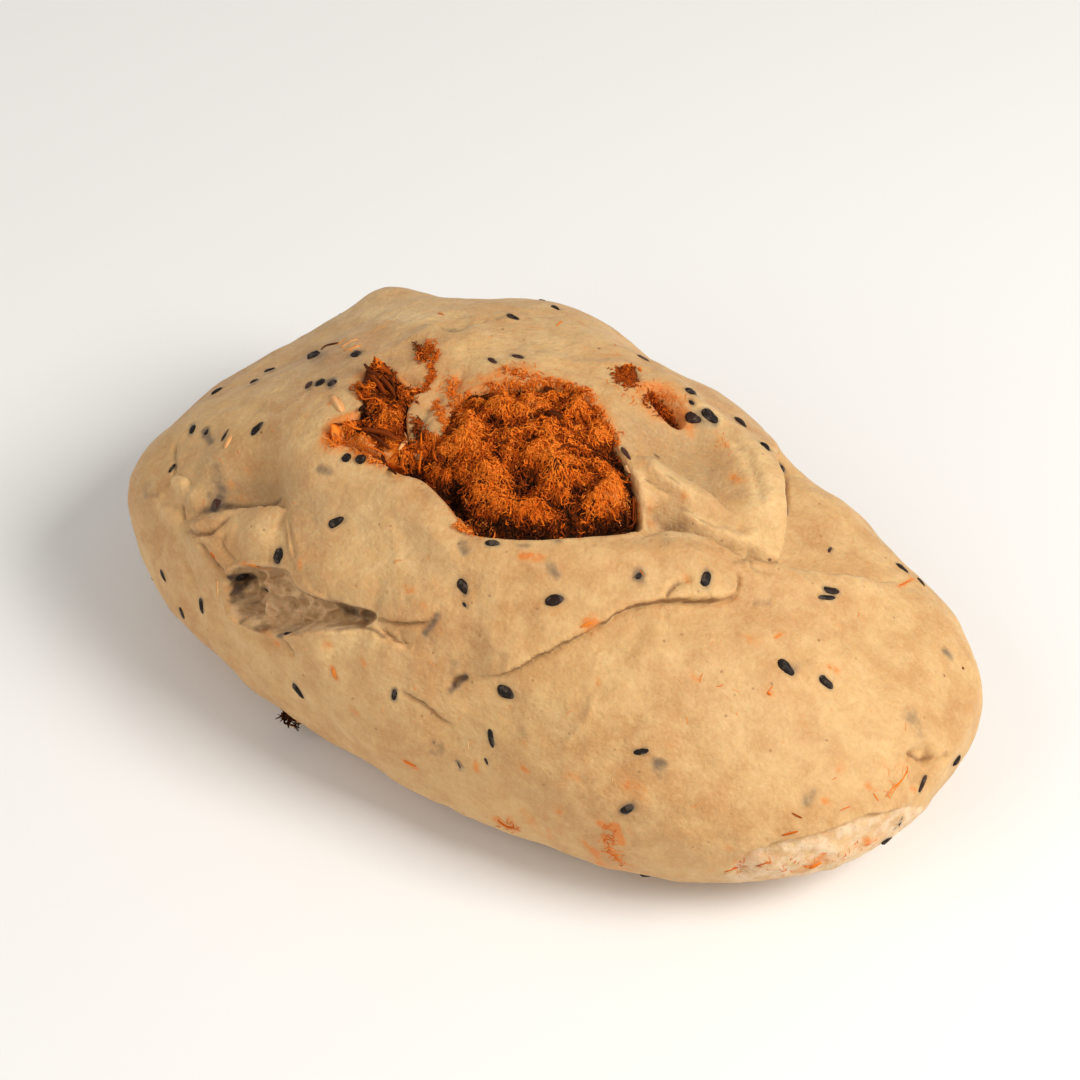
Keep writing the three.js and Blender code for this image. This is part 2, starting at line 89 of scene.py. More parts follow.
def sight(pixel):
    """The direction from the camera through a pixel, counted from the picture's upper left."""
    across, down = pixel
    x = (across - PICTURE_SIDE / 2) / FOCAL_PIXELS
    y = (PICTURE_SIDE / 2 - down) / FOCAL_PIXELS
    return (camera_right * x + camera_up * y - camera_back).normalized()


print("camera at", [round(v, 3) for v in camera_place])

# %% [markdown]
# ## The loaf before any fold
# Under its folds the bun is a plain loaf: a squashed ball, fuller at the front of its near
# end and at the back of its far end. Every point of its skin belongs to one direction from
# the middle, so a mesh of a ball with a radius of 1 can be carried onto the loaf, and stays
# closed whatever is done to its height.

# %% Loaf
HALF_LENGTH = 76
HALF_WIDTH = 50
RIM_HEIGHT = 21  # height of the widest line
CROWN_RISE = 29
CROWN_FALL = 0.22  # the top gets lower towards the near end
CROWN_ARCH = 0.42
FRONT_EGG = 0.29
BACK_EGG = -0.52
BEND = -3
SQUARENESS = 0.1
UNDERSIDE_POWER = 0.62
SETTLE = 0.8  # how far the soft underside sinks flat where it rests


def smooth(value):
    u = np.clip(value, 0, 1)
    return u * u * (3 - 2 * u)


def bell(distance, radius):
    return np.exp(-((distance / radius) ** 2))


def crown(t):
    return CROWN_RISE * (1 - CROWN_FALL * t + CROWN_ARCH * (0.5 - t * t))


def loaf(directions):
    """Points of the plain loaf for directions from its middle, one row each."""
    dx, dy, dz = directions.T
    flat = np.maximum(np.hypot(dx, dy), 1e-9)
    power = np.where(dz > 0, 1.0, UNDERSIDE_POWER)
    ring = flat**power
    rise = np.sign(dz) * np.abs(dz) ** power
    t = ring * dx / flat
    egg = 1 + np.where(dy < 0, FRONT_EGG, BACK_EGG) * t
    across = HALF_WIDTH * ring * dy / flat * egg + BEND * t * t
    across = across * (1 + SQUARENESS * (t * t - 0.5))
    height = RIM_HEIGHT + np.where(dz > 0, crown(t), RIM_HEIGHT) * rise
    return np.stack([HALF_LENGTH * t, across, height], 1)


def unit(rows):
    return rows / np.maximum(np.linalg.norm(rows, axis=1, keepdims=True), 1e-12)


def outward(directions):
    """Outward unit normals of the plain loaf."""
    step = 1e-3
    helper = np.where(np.abs(directions[:, 2:]) < 0.9, [[0.0, 0.0, 1.0]], [[1.0, 0.0, 0.0]])
    first = unit(np.cross(directions, helper))
    second = np.cross(directions, first)

    def slope(side):
        return loaf(unit(directions + step * side)) - loaf(unit(directions - step * side))

    normal = unit(np.cross(slope(first), slope(second)))
    return normal * np.where((normal * directions).sum(1, keepdims=True) < 0, -1, 1)


def top(x, y):
    """Direction of the skin over the place (x, y) of the plan."""
    t = x / HALF_LENGTH
    across = y / (1 + SQUARENESS * (t * t - 0.5)) - BEND * t * t
    s = across / HALF_WIDTH / (1 + (FRONT_EGG if across < 0 else BACK_EGG) * t)
    return np.array([t, s, math.sqrt(max(1 - t * t - s * s, 0))])


def sideways(x, z, sign):
    """Direction of the skin on the front (sign -1) or back at length x and height z."""
    t = x / HALF_LENGTH
    rise = (z - RIM_HEIGHT) / crown(t)
    return np.array([t, sign * math.sqrt(max(1 - t * t - rise * rise, 0)), rise])


def front(x, z):
    return sideways(x, z, -1)


def back(x, z):
    return sideways(x, z, 1)


print("loaf, highest point:", round(RIM_HEIGHT + crown(0), 1), "mm")

# %% [markdown]
# ## Swellings, folds and ridges
# The dough was rolled up and pinched, so it has soft lobes, edges where one layer lies over
# another, and narrow rolls and pleats. Each of them could be sculpted by hand. Here each is a
# named line or spot on the loaf with a height in millimetres, as in the solid that it
# replaces, so that a fold can be moved or deepened by changing one number.

# %% Lobes, folds and ridges
LOBES = {  # where, radius, height
    "peak": (top(-47.2, 38.6), 6, 2.6),
    "behind the peak": (back(-31, 37), 9, -2.4),
    "back shoulder": (back(-12, 40), 15, 2),
    "back dip": (back(4.5, 41), 8, -2.8),
    "right of the dip": (back(20, 37), 11, 0.6),
    "gap by the near lobe": (back(37, 33), 7, -3.4),
    "near shoulder": (back(46, 33), 9, 0.8),
    "near end corner": (back(67, 27), 9, 1),
    "near tip": (top(74, -3), 8, -0.8),
    "far slope": (back(-66, 29), 13, -2.2),
    "far slope upper": (top(-54, 18), 11, -2.4),
    "far tip": (top(-73, -8), 9, 1.6),
    "left shoulder": (top(-38, -13), 11, 2.2),
    "left hollow": (top(-47, -18.5), 6.5, -4.8),
    "lip rise": (top(2, -28), 13, 1.4),
    "inner dish": (top(21, 7), 8.5, -3.8),
    "hollow behind the lip": (top(21.8, -9.4), 4.2, -2.6),
    "dome crown": (top(2, 24), 14, 1.2),
    "tongue": (top(-21, 2), 6, -2.6),
    "wedge": (top(47, 5), 8, -2),
    "near lobe crown": (top(46, -22), 18, 1.6),
    "near lobe waist": (front(5, 33), 12, -1.6),
    "lower left bulge": (front(-20, 25), 14, 1.4),
    "near end dent": (front(71.5, 23.5), 4, -1.6),
    "front foot": (front(-24, 16), 10, -0.8),
}


def fold(path, raised, rise, reach, sink, groove, taper, over):
    """An edge of a layer: the raised side stands proud by rise and leans over the other."""
    return dict(
        path=path, side={"left": 1, "right": -1}[raised], rise=rise, reach=reach, sink=sink, groove=groove,
        taper=taper, over=over)


FOLDS = {
    "flap edge": fold(
        [top(34.7, -10.7), top(35.6, -14), top(35.8, -16.8), top(33.7, -19.1), top(30.5, -20.9),
         top(26, -23.1), top(21.6, -26.9), top(17.4, -31.8), top(12, -36.4), top(6.1, -40.2),
         top(1.6, -41.2)],
        "right", 1.9, 8, 0.6, 0.5, (0.35, 0.12), 0.8),
    "dome edge": fold(
        [top(30.4, 22.5), top(31.8, 17.4), top(33.2, 12.8), top(35, 9.3), top(36.8, 5.2), top(38.2, 2),
         top(39.4, -1.4), top(39.9, -4.8), top(40.2, -8.4)],
        "right", 2.4, 9, 2.4, 1.3, (0.12, 0.1), 0.8),
    "lip and near crease": fold(
        [top(19.8, -15.4), top(22.7, -12.6), top(25.7, -11), top(28.7, -10.6), top(31.9, -10.4),
         top(34.8, -10.4), top(37.6, -9.5), top(40.4, -8), top(44.8, -4.7), top(49, -2.2), top(52.5, 0.4),
         top(55.7, 3.4), top(58.3, 6.9)],
        "right", 1.6, 6.5, 1.3, 1.0, (0.1, 0.2), 0.8),
    "side flap top": fold(
        [top(-57.4, -23.6), top(-54.4, -23.4), top(-52.2, -22.9), top(-50, -22.8), top(-47.3, -22.6),
         top(-44.5, -22.8), top(-42, -23), top(-39, -23.2), top(-37.6, -23.6)],
        "right", 2.2, 7, 1.4, 0.6, (0.15, 0.3), 0.9),
    "shoulder end": fold(
        [top(-37.8, -23.4), top(-36.8, -25.4), top(-35.4, -27.6), top(-34, -29.6), top(-32.3, -31.4)],
        "left", 0.6, 7, 0.3, 0.25, (0.2, 0.2), 0.3),
    "slit line": fold(
        [top(-16.6, -36.4), top(-14, -36.6), top(-11, -36.7), top(-8, -36.3), top(-5.2, -35.7)],
        "left", 1, 5, 0.5, 0.8, (0.15, 0.4), 0.4),
    "small flap": fold(
        [top(-16.6, -36.9), top(-14, -38.3), top(-11.6, -39), top(-7.3, -39.4)],
        "right", 0.9, 5, 0.3, 0.6, (0.3, 0.5), 0.3),
    "low crease": fold(
        [front(-10, 32.5), front(-7, 32.2), front(-3.5, 31), front(0, 29.5)],
        "left", 0.5, 5, 0.2, 0.6, (0.2, 0.25), 0.1),
    "upper crease": fold(
        [top(-31.5, 21.5), top(-28, 18.6), top(-24.3, 18.2), top(-21, 25)],
        "right", 1.2, 5, 0.6, 0.4, (0.25, 0.25), 0.3),
    "second upper crease": fold(
        [top(-26, 26), top(-22, 27.5), top(-18.3, 31.2)],
        "right", 0.7, 4, 0.3, 0.4, (0.3, 0.3), 0.1),
    "dish crease": fold(
        [top(12.5, 3.5), top(15.5, 2.1), top(18.5, 1.6), top(22.4, 0.5), top(25.9, -0.4), top(29.1, -1.7),
         top(32, -2.6)],
        "right", 1.0, 3, 0.6, 0.5, (0.25, 0.35), 0.4),
    "underside seam": fold(
        [front(43, 14), front(46.5, 18.3), front(50, 21.6), front(54.4, 23.4), front(60, 23.6),
         front(65, 23.8), front(68.5, 22.2), front(71.3, 20.4)],
        "left", 0.8, 6, 0.7, 0.1, (0.2, 0.2), 0.1),
}

RIDGES = {  # path, rise, width
    "dome band": ([top(6, 25), top(18, 19), top(29, 11.8), top(34.5, 3.3), top(35, -4)], 1.7, 3.6),
    "dome fold": ([top(14, 0.5), top(18, -0.6), top(22, -1.8), top(26, -3), top(30.5, -4)], 1.2, 1.8),
    "dome second fold": (
        [top(22.5, -5.6), top(26, -6.2), top(29.5, -7.2), top(33, -7.4), top(36, -6.8)], 1.2, 1.7),
    "dent above the floury patch": ([front(68, 27), front(70.6, 26), front(72.4, 23.4)], -1.0, 0.9),
    "dent, right side": ([front(72.4, 23.4), top(73.4, -18.6), top(74.2, -16)], -0.8, 0.8),
    "thin ridge on the near lobe": (
        [top(22.1, -40), top(21.4, -43), front(19.4, 34.5), front(19.1, 31.5)], 0.4, 0.5),
    "upright crease": ([top(27.4, -23.8), top(28.6, -26), top(29.6, -28.4)], -0.5, 0.5),
    "wrinkle on the lip": ([top(-12, -25), top(-4, -29), top(4, -31)], 0.3, 1.1),
    "wrinkle below the pocket": ([top(-22, -22), top(-17, -27), top(-14, -32)], 0.35, 1.0),
    "wrinkle on the dome": ([top(-10, 16), top(0, 17.5), top(8, 24)], 0.4, 1.3),
    "wrinkle behind the branch": ([top(-40, 8), top(-33, 14), top(-27, 20)], 0.4, 1.2),
    "lip roll": (
        [top(-33, -16.3), top(-24, -18.4), top(-15, -21.6), top(-8, -27), top(2, -26.4), top(10, -24),
         top(20, -18.4), top(28, -14.6), top(34.5, -13.6)], 1.4, 3.2),
    "rise over the tear": (
        [front(-46, 38), front(-40, 40.5), front(-33, 41.2), front(-25, 42.2), front(-17, 43.4)], 0.9, 2.4),
    "shelf under the tear": (
        [front(-46, 26), front(-38, 25.8), front(-30, 28.8), front(-22, 33.2)], 0.9, 2.6),
    "near lobe wrinkle": ([top(27, -27), front(26, 41.5), front(21, 37)], 0.35, 1.2),
    "low wrinkle": ([front(24, 36), front(20, 30), front(18, 26)], 0.3, 1.3),
}
GROOVE_WIDTH = 0.6
FOLD_STEP = 0.8  # width over which the raised side drops to the other
SPLINE_STEPS = 6


def spline(points, closed=False, steps=SPLINE_STEPS):
    """Points of a Catmull-Rom curve through the given ones."""
    rows = np.array(points, float)
    count = len(rows)

    def row(i):
        return rows[i % count] if closed else rows[min(max(i, 0), count - 1)]

    curve = []
    for i in range(count if closed else count - 1):
        a, b, c, d = row(i - 1), row(i), row(i + 1), row(i + 2)
        for u in np.arange(steps) / steps:
            bow = (2 * a - 5 * b + 4 * c - d) * u * u + (3 * b - a - 3 * c + d) * u**3
            curve.append(0.5 * (2 * b + (c - a) * u + bow))
    return np.array(curve if closed else curve + [rows[-1]])


def lay_over(path):
    """A path of directions as points on the loaf."""
    return loaf(unit(spline(path)))


def beside(points, normals, line, within):
    """Signed distance from a line (left is positive), the share of the way along it and the
    direction across it. Points farther off than within keep that distance."""
    middle = line.mean(0)
    span = np.linalg.norm(line - middle, axis=1).max() + within
    near = np.nonzero(np.linalg.norm(points - middle, axis=1) < span)[0]
    distance = np.full(len(points), within, float)
    side = np.ones(len(points))
    share = np.zeros(len(points))
    across = np.zeros((len(points), 3))
    p, n = points[near], normals[near]
    best = np.full(len(near), within**2, float)
    for i, run in enumerate(np.diff(line, axis=0)):
        reach = p - line[i]
        part = np.clip(reach @ run / (run @ run), 0, 1)
        reach = reach - part[:, None] * run
        square = (reach**2).sum(1)
        closer = square < best
        best[closer] = square[closer]
        left = np.cross(n[closer], run)
        hit = near[closer]
        distance[hit] = np.sqrt(square[closer])
        side[hit] = np.where((left * reach[closer]).sum(1) < 0, -1, 1)
        share[hit] = (i + part[closer]) / (len(line) - 1)
        across[hit] = unit(left)
    return distance * side, share, across


for made in FOLDS.values():
    made["line"] = lay_over(made["path"])
RIDGE_LINES = {name: lay_over(path) for name, (path, rise, width) in RIDGES.items()}
print(len(LOBES), "lobes,", len(FOLDS), "folds,", len(RIDGES), "ridges")

# %% [markdown]
# ## The hollows
# The pocket holds the floss. A small pit beside it and a nook hold a little more, and the
# front has a tear. Each hollow is a closed outline, seen from above for the pocket and from
# the front for the tear, and its wall falls away inside the outline. A Boolean cut would
# leave a knife-sharp rim, but soft dough turns over into the hollow, as a height does here.

# %% Outlines of the hollows
POCKET_DEPTH = 13
POCKET_WALL = 2.6
PIT_CENTRE = (13.8, 15.7)
PIT_HALF_LENGTH = 5
PIT_HALF_WIDTH = 2.7
PIT_TURN = math.radians(-28)
PIT_DEPTH = 6
NOOK_CENTRE = (5.8, 18.6)
NOOK_RADIUS = 2.5
NOOK_DEPTH = 1.5
TEAR_DEPTH = 4.4
TEAR_DEEPER = 1.9  # at its right end
TEAR_WALL = 0.9
OUTLINE_STEPS = 4  # points for each stretch of an outline


def oval(centre, half_along, half_across, turn, count=28):
    angle = np.arange(count) * 2 * math.pi / count
    u, v = half_along * np.cos(angle), half_across * np.sin(angle)
    x = centre[0] + u * math.cos(turn) - v * math.sin(turn)
    y = centre[1] + u * math.sin(turn) + v * math.cos(turn)
    return np.stack([x, y], 1)


POCKET = spline([
    (-33, -13.4), (-35, -11.8), (-34.2, -9.8), (-32.4, -7.4), (-32.4, -4.8), (-34, -1.4), (-35.4, 2.4),
    (-35.4, 6), (-32.8, 6.6), (-30, 4.4), (-27.4, 2.6), (-25.5, 0.6), (-25, -2.2), (-23.7, -5.8),
    (-21.9, -9.2), (-20.2, -12.4), (-18, -12), (-17.2, -8), (-17.6, -4), (-18.4, 0.6), (-16.8, 4.2),
    (-12.2, 6.6), (-7.6, 8), (-3.4, 10), (2.4, 8.6), (10.8, 1.2), (17.2, -6.1), (19.6, -13.4), (9, -20.8),
    (0, -23.8), (-6, -24), (-12.2, -19.9), (-16.7, -17.4), (-20.6, -17), (-25.4, -14.9), (-29.8, -13.8),
], closed=True, steps=OUTLINE_STEPS)
TEAR = spline([
    (-45.6, 31), (-45.2, 34.4), (-42.2, 36.7), (-35.2, 39.4), (-31.6, 38.4), (-26.1, 39.3), (-23.2, 40),
    (-16.6, 40.9), (-18.8, 38), (-27.4, 34.2), (-33, 30.9), (-39.1, 29.2), (-43.8, 28.4),
], closed=True, steps=OUTLINE_STEPS)
PIT = oval(PIT_CENTRE, PIT_HALF_LENGTH, PIT_HALF_WIDTH, PIT_TURN)
NOOK = oval(NOOK_CENTRE, NOOK_RADIUS, NOOK_RADIUS, 0)
FAR_OUTSIDE = -99.0
TOP_FROM = 0.3  # a direction that climbs more than this meets the top


def inside(u, v, outline):
    """How far inside a closed outline each place lies; outside it is negative."""
    nearest = np.full(len(u), 1e9)
    odd = np.zeros(len(u), bool)
    for (ax, ay), (bx, by) in zip(outline, np.roll(outline, -1, 0)):
        ex, ey = bx - ax, by - ay
        share = np.clip(((u - ax) * ex + (v - ay) * ey) / (ex * ex + ey * ey), 0, 1)
        nearest = np.minimum(nearest, (u - ax - share * ex) ** 2 + (v - ay - share * ey) ** 2)
        if ay != by:
            odd ^= ((ay > v) != (by > v)) & (u < ex * (v - ay) / ey + ax)
    return np.where(odd, 1, -1) * np.sqrt(nearest)


def inside_hollows(points, directions):
    x, y, z = points.T
    on_top = directions[:, 2] > TOP_FROM
    on_front = directions[:, 1] < 0

    def where(mask, u, v, outline):
        result = np.full(len(u), FAR_OUTSIDE)
        result[mask] = inside(u[mask], v[mask], outline)
        return result

    return {
        "pocket": where(on_top, x, y, POCKET),
        "pit": where(on_top, x, y, PIT),
        "nook": where(on_top, x, y, NOOK),
        "tear": where(on_front, x, z, TEAR),
    }


print("pocket outline:", len(POCKET), "points, tear outline:", len(TEAR))

# %% [markdown]
# ## The height of the skin
# Everything adds up to one function, the skin. Where a layer lies over another, a height
# alone would make a ramp, so the points near the edge are also pushed sideways over the lower
# layer: that gives the thin dark line that a real overlap has. Low, uneven waves keep the
# skin from looking like plastic, and the torn crumb is rough.

# %% Waves, bubbles and the floury patch
BUBBLE = 3.1  # mm, size of the bubbles in the torn crumb
BUBBLE_WALL = 0.9  # how far their walls stand up
BUBBLE_WALL_SHARE = 0.35  # how much of a bubble its walls take up
FLOURY_REACH = 30  # mm round the underside's seam
FLOURY_DEPTH = 22  # mm that the patch runs down from the seam
FLOURY_FADE = 6
FLOURY_END = 0.12  # share of the seam over which the patch starts
FLOURY_GAP = 0.2
FLOURY_EDGES = ((3.0, 1.6), (1.2, 0.8))  # size of each wave and its height


def waves(points, sizes):
    """Uneven heights: smooth noise of the given sizes, added up."""
    rows = [Vector(p) for p in points]
    height = np.zeros(len(rows))
    for size, rise in sizes:
        height += rise * np.array([noise.noise(p / size) for p in rows])
    return height


def bubbles(points):
    """Height of a web of thin walls between bubbles."""
    height = []
    for p in points:
        distances = noise.voronoi(Vector(p) / BUBBLE)[0]
        height.append(BUBBLE_WALL * (1 - smooth((distances[1] - distances[0]) / BUBBLE_WALL_SHARE)))
    return np.array(height)


def floury(points, normals, directions):
    """1 on the pale, rough underside that shows at the lower right, and 0 elsewhere."""
    below, along, across = beside(points, normals, FOLDS["underside seam"]["line"], FLOURY_REACH)
    near = (np.abs(below) < FLOURY_REACH) & (directions[:, 1] < 0)
    ragged = np.zeros(len(points))
    ragged[near] = waves(points[near], FLOURY_EDGES)
    share = smooth(ragged - below - FLOURY_GAP) * smooth(along / FLOURY_END)
    return np.where(near, share * smooth((FLOURY_DEPTH + below) / FLOURY_FADE), 0)


print("bubbles of", BUBBLE, "mm in the torn crumb")

# %% Skin
WAVES = ((14.0, 0.6), (6.0, 0.34), (2.6, 0.12))
CRUMB_WAVES = ((3.4, 1.3), (1.2, 0.5))
FLOURY_WAVES = ((2.4, 0.35), (1.1, 0.2))
RAGGED_EDGES = ((2.2, 0.35), (0.9, 0.15))
ROUGH_FROM = 0.02  # share of crumb or flour from which a place is rough
SIDE_REACH = 3  # a fold or line is felt this many of its own widths away
LOWER_REACH = 0.75  # the lower side of a fold sinks over this share of its reach
# The crease number is painted shade: grooves get a brown that stands for the shade in them.
CREASE_WIDTH = 0.36
FULL_SHADE_GROOVE = 0.5  # mm; a groove of this depth is fully brown
OVERHANG_FROM = 0.3  # mm from a fold's edge to its most overhanging part
OVERHANG_WIDTH = 1.1
RIDGE_END = 0.2  # share of its length over which a ridge fades in and out
LINE_END = 0.25
LINE_WAVER = 0.6  # how much of the ragged edges a fine line takes on
# Painted shade: a groove narrower than this gets the brown of the crease.
HAIRLINE = 0.7  # mm; a groove narrower than this is brown
TEAR_DEEPER_FROM = -30  # mm along the bun
TEAR_DEEPER_RUN = 10

fine_lines = []  # line on the loaf, rise, width; filled below


def fading(share, ends):
    """1 along a line, falling to 0 over a share of its length at either end."""
    return smooth(share / ends[0]) * smooth((1 - share) / ends[1])


def skin(directions, uneven=True):
    """Points of the dough's skin in millimetres, how far inside each hollow they lie, and how
    deep in a crease they lie, which sets the painted shade of the crease."""
    points, normals = loaf(directions), outward(directions)
    hollow = inside_hollows(points, directions)
    ragged = waves(points, RAGGED_EDGES) if uneven else 0
    height = np.zeros(len(points))
    crease = np.zeros(len(points))
    sideways_shift = np.zeros_like(points)
    for where, radius, rise in LOBES.values():
        height += rise * bell(np.linalg.norm(points - loaf(where[None]), axis=1), radius)
    for made in FOLDS.values():
        distance, share, across = beside(points, normals, made["line"], SIDE_REACH * made["reach"])
        s = distance * made["side"] + ragged
        end = fading(share, made["taper"])
        up = smooth(0.5 + s / FOLD_STEP)
        height += end * made["rise"] * up * bell(np.maximum(s, 0), made["reach"])
        height -= end * made["sink"] * (1 - up) * bell(np.minimum(s, 0), LOWER_REACH * made["reach"])
        height -= end * made["groove"] * bell(s, GROOVE_WIDTH)
        crease = np.maximum(crease, end * min(1, made["groove"] / FULL_SHADE_GROOVE) * bell(s, CREASE_WIDTH))
        lean = end * made["over"] * up * bell(s - OVERHANG_FROM, OVERHANG_WIDTH)
        sideways_shift -= across * (made["side"] * lean)[:, None]
    for name, (path, rise, width) in RIDGES.items():
        distance, share, across = beside(points, normals, RIDGE_LINES[name], SIDE_REACH * width)
        height += fading(share, (RIDGE_END, RIDGE_END)) * rise * bell(distance, width)
    for line, rise, width in fine_lines:
        distance, share, across = beside(points, normals, line, SIDE_REACH * width)
        shape = fading(share, (LINE_END, LINE_END)) * bell(distance + LINE_WAVER * ragged, width)
        height += rise * shape
        if width < HAIRLINE:
            crease = np.maximum(crease, np.clip(-rise, 0, 1) * shape)
    height -= POCKET_DEPTH * smooth(hollow["pocket"] / POCKET_WALL)
    height -= PIT_DEPTH * smooth(hollow["pit"] / PIT_HALF_WIDTH)
    height -= NOOK_DEPTH * smooth(hollow["nook"] / NOOK_RADIUS)
    torn = smooth(hollow["tear"] / TEAR_WALL)
    height -= (TEAR_DEPTH + TEAR_DEEPER * smooth((points[:, 0] - TEAR_DEEPER_FROM) / TEAR_DEEPER_RUN)) * torn
    if uneven:
        height += waves(points, WAVES)
        crumb = np.nonzero(torn > ROUGH_FROM)[0]
        height[crumb] += torn[crumb] * (waves(points[crumb], CRUMB_WAVES) + bubbles(points[crumb]))
        rough = floury(points, normals, directions)
        patch = np.nonzero(rough > ROUGH_FROM)[0]
        height[patch] += rough[patch] * waves(points[patch], FLOURY_WAVES)
    points = points + normals * height[:, None] + sideways_shift
    points[:, 2] = np.maximum(points[:, 2] - SETTLE, 0)
    return points, hollow, crease


print("waves of", [size for size, rise in WAVES], "mm on the skin")

# %% [markdown]
# ## Where the picture's spots lie
# A ball of small triangles is laid over the loaf and takes the skin's form. A line of sight
# meets it at a point, and the three corners round that point give its direction from the
# loaf's middle. With a direction in hand, a spot can be found again on any finer mesh.

# %% A first, even skin
EVEN_ROUNDS = 6


def ball(rounds):
    made = bmesh.new()
    bmesh.ops.create_icosphere(made, subdivisions=rounds, radius=1)
    return made


def directions_of(made):
    return unit(np.array([vertex.co for vertex in made.verts]))


first_ball = ball(EVEN_ROUNDS)
even_directions = directions_of(first_ball)
even_points, even_hollow, even_crease_shade = skin(even_directions, uneven=False)
MIDDLE = (even_points.min(0) + even_points.max(0)) / 2 * [1, 1, 0]


def to_frame(points):
    """Millimetres on the loaf to metres in the frame, whose origin is under the middle."""
    return (points - MIDDLE) * MM


even_faces = [[vertex.index for vertex in face.verts] for face in first_ball.faces]
first_ball.free()
even_frame = [Vector(p) for p in to_frame(even_points)]
even_tree = BVHTree.FromPolygons(even_frame, even_faces)


def met_by(tree, pixel):
    """Where a line of sight meets a surface, or comes nearest to it at the outline."""
    found = tree.ray_cast(camera_place, sight(pixel))
    return found if found[0] is not None else tree.find_nearest(camera_place + sight(pixel) * CAMERA_DISTANCE)


def direction_at(pixel):
    """Direction of the skin that a pixel shows."""
    hit, normal, index, distance = met_by(even_tree, pixel)
    corners = even_faces[index]
    places = [even_frame[i] for i in corners]
    ways = [Vector(even_directions[i]) for i in corners]
    return unit(np.array([barycentric_transform(hit, *places, *ways)]))[0]


print("even skin:", len(even_points), "points; middle of its box in plan", np.round(MIDDLE[:2], 2))

# %% [markdown]
# ## Fine creases and rolls
# The far end is crumpled into pleats and lumps, the tear has a thin raised rim, and short
# creases run off the large folds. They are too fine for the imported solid, so they are only
# here: each is a line through pixels of the picture, with a height and a width.

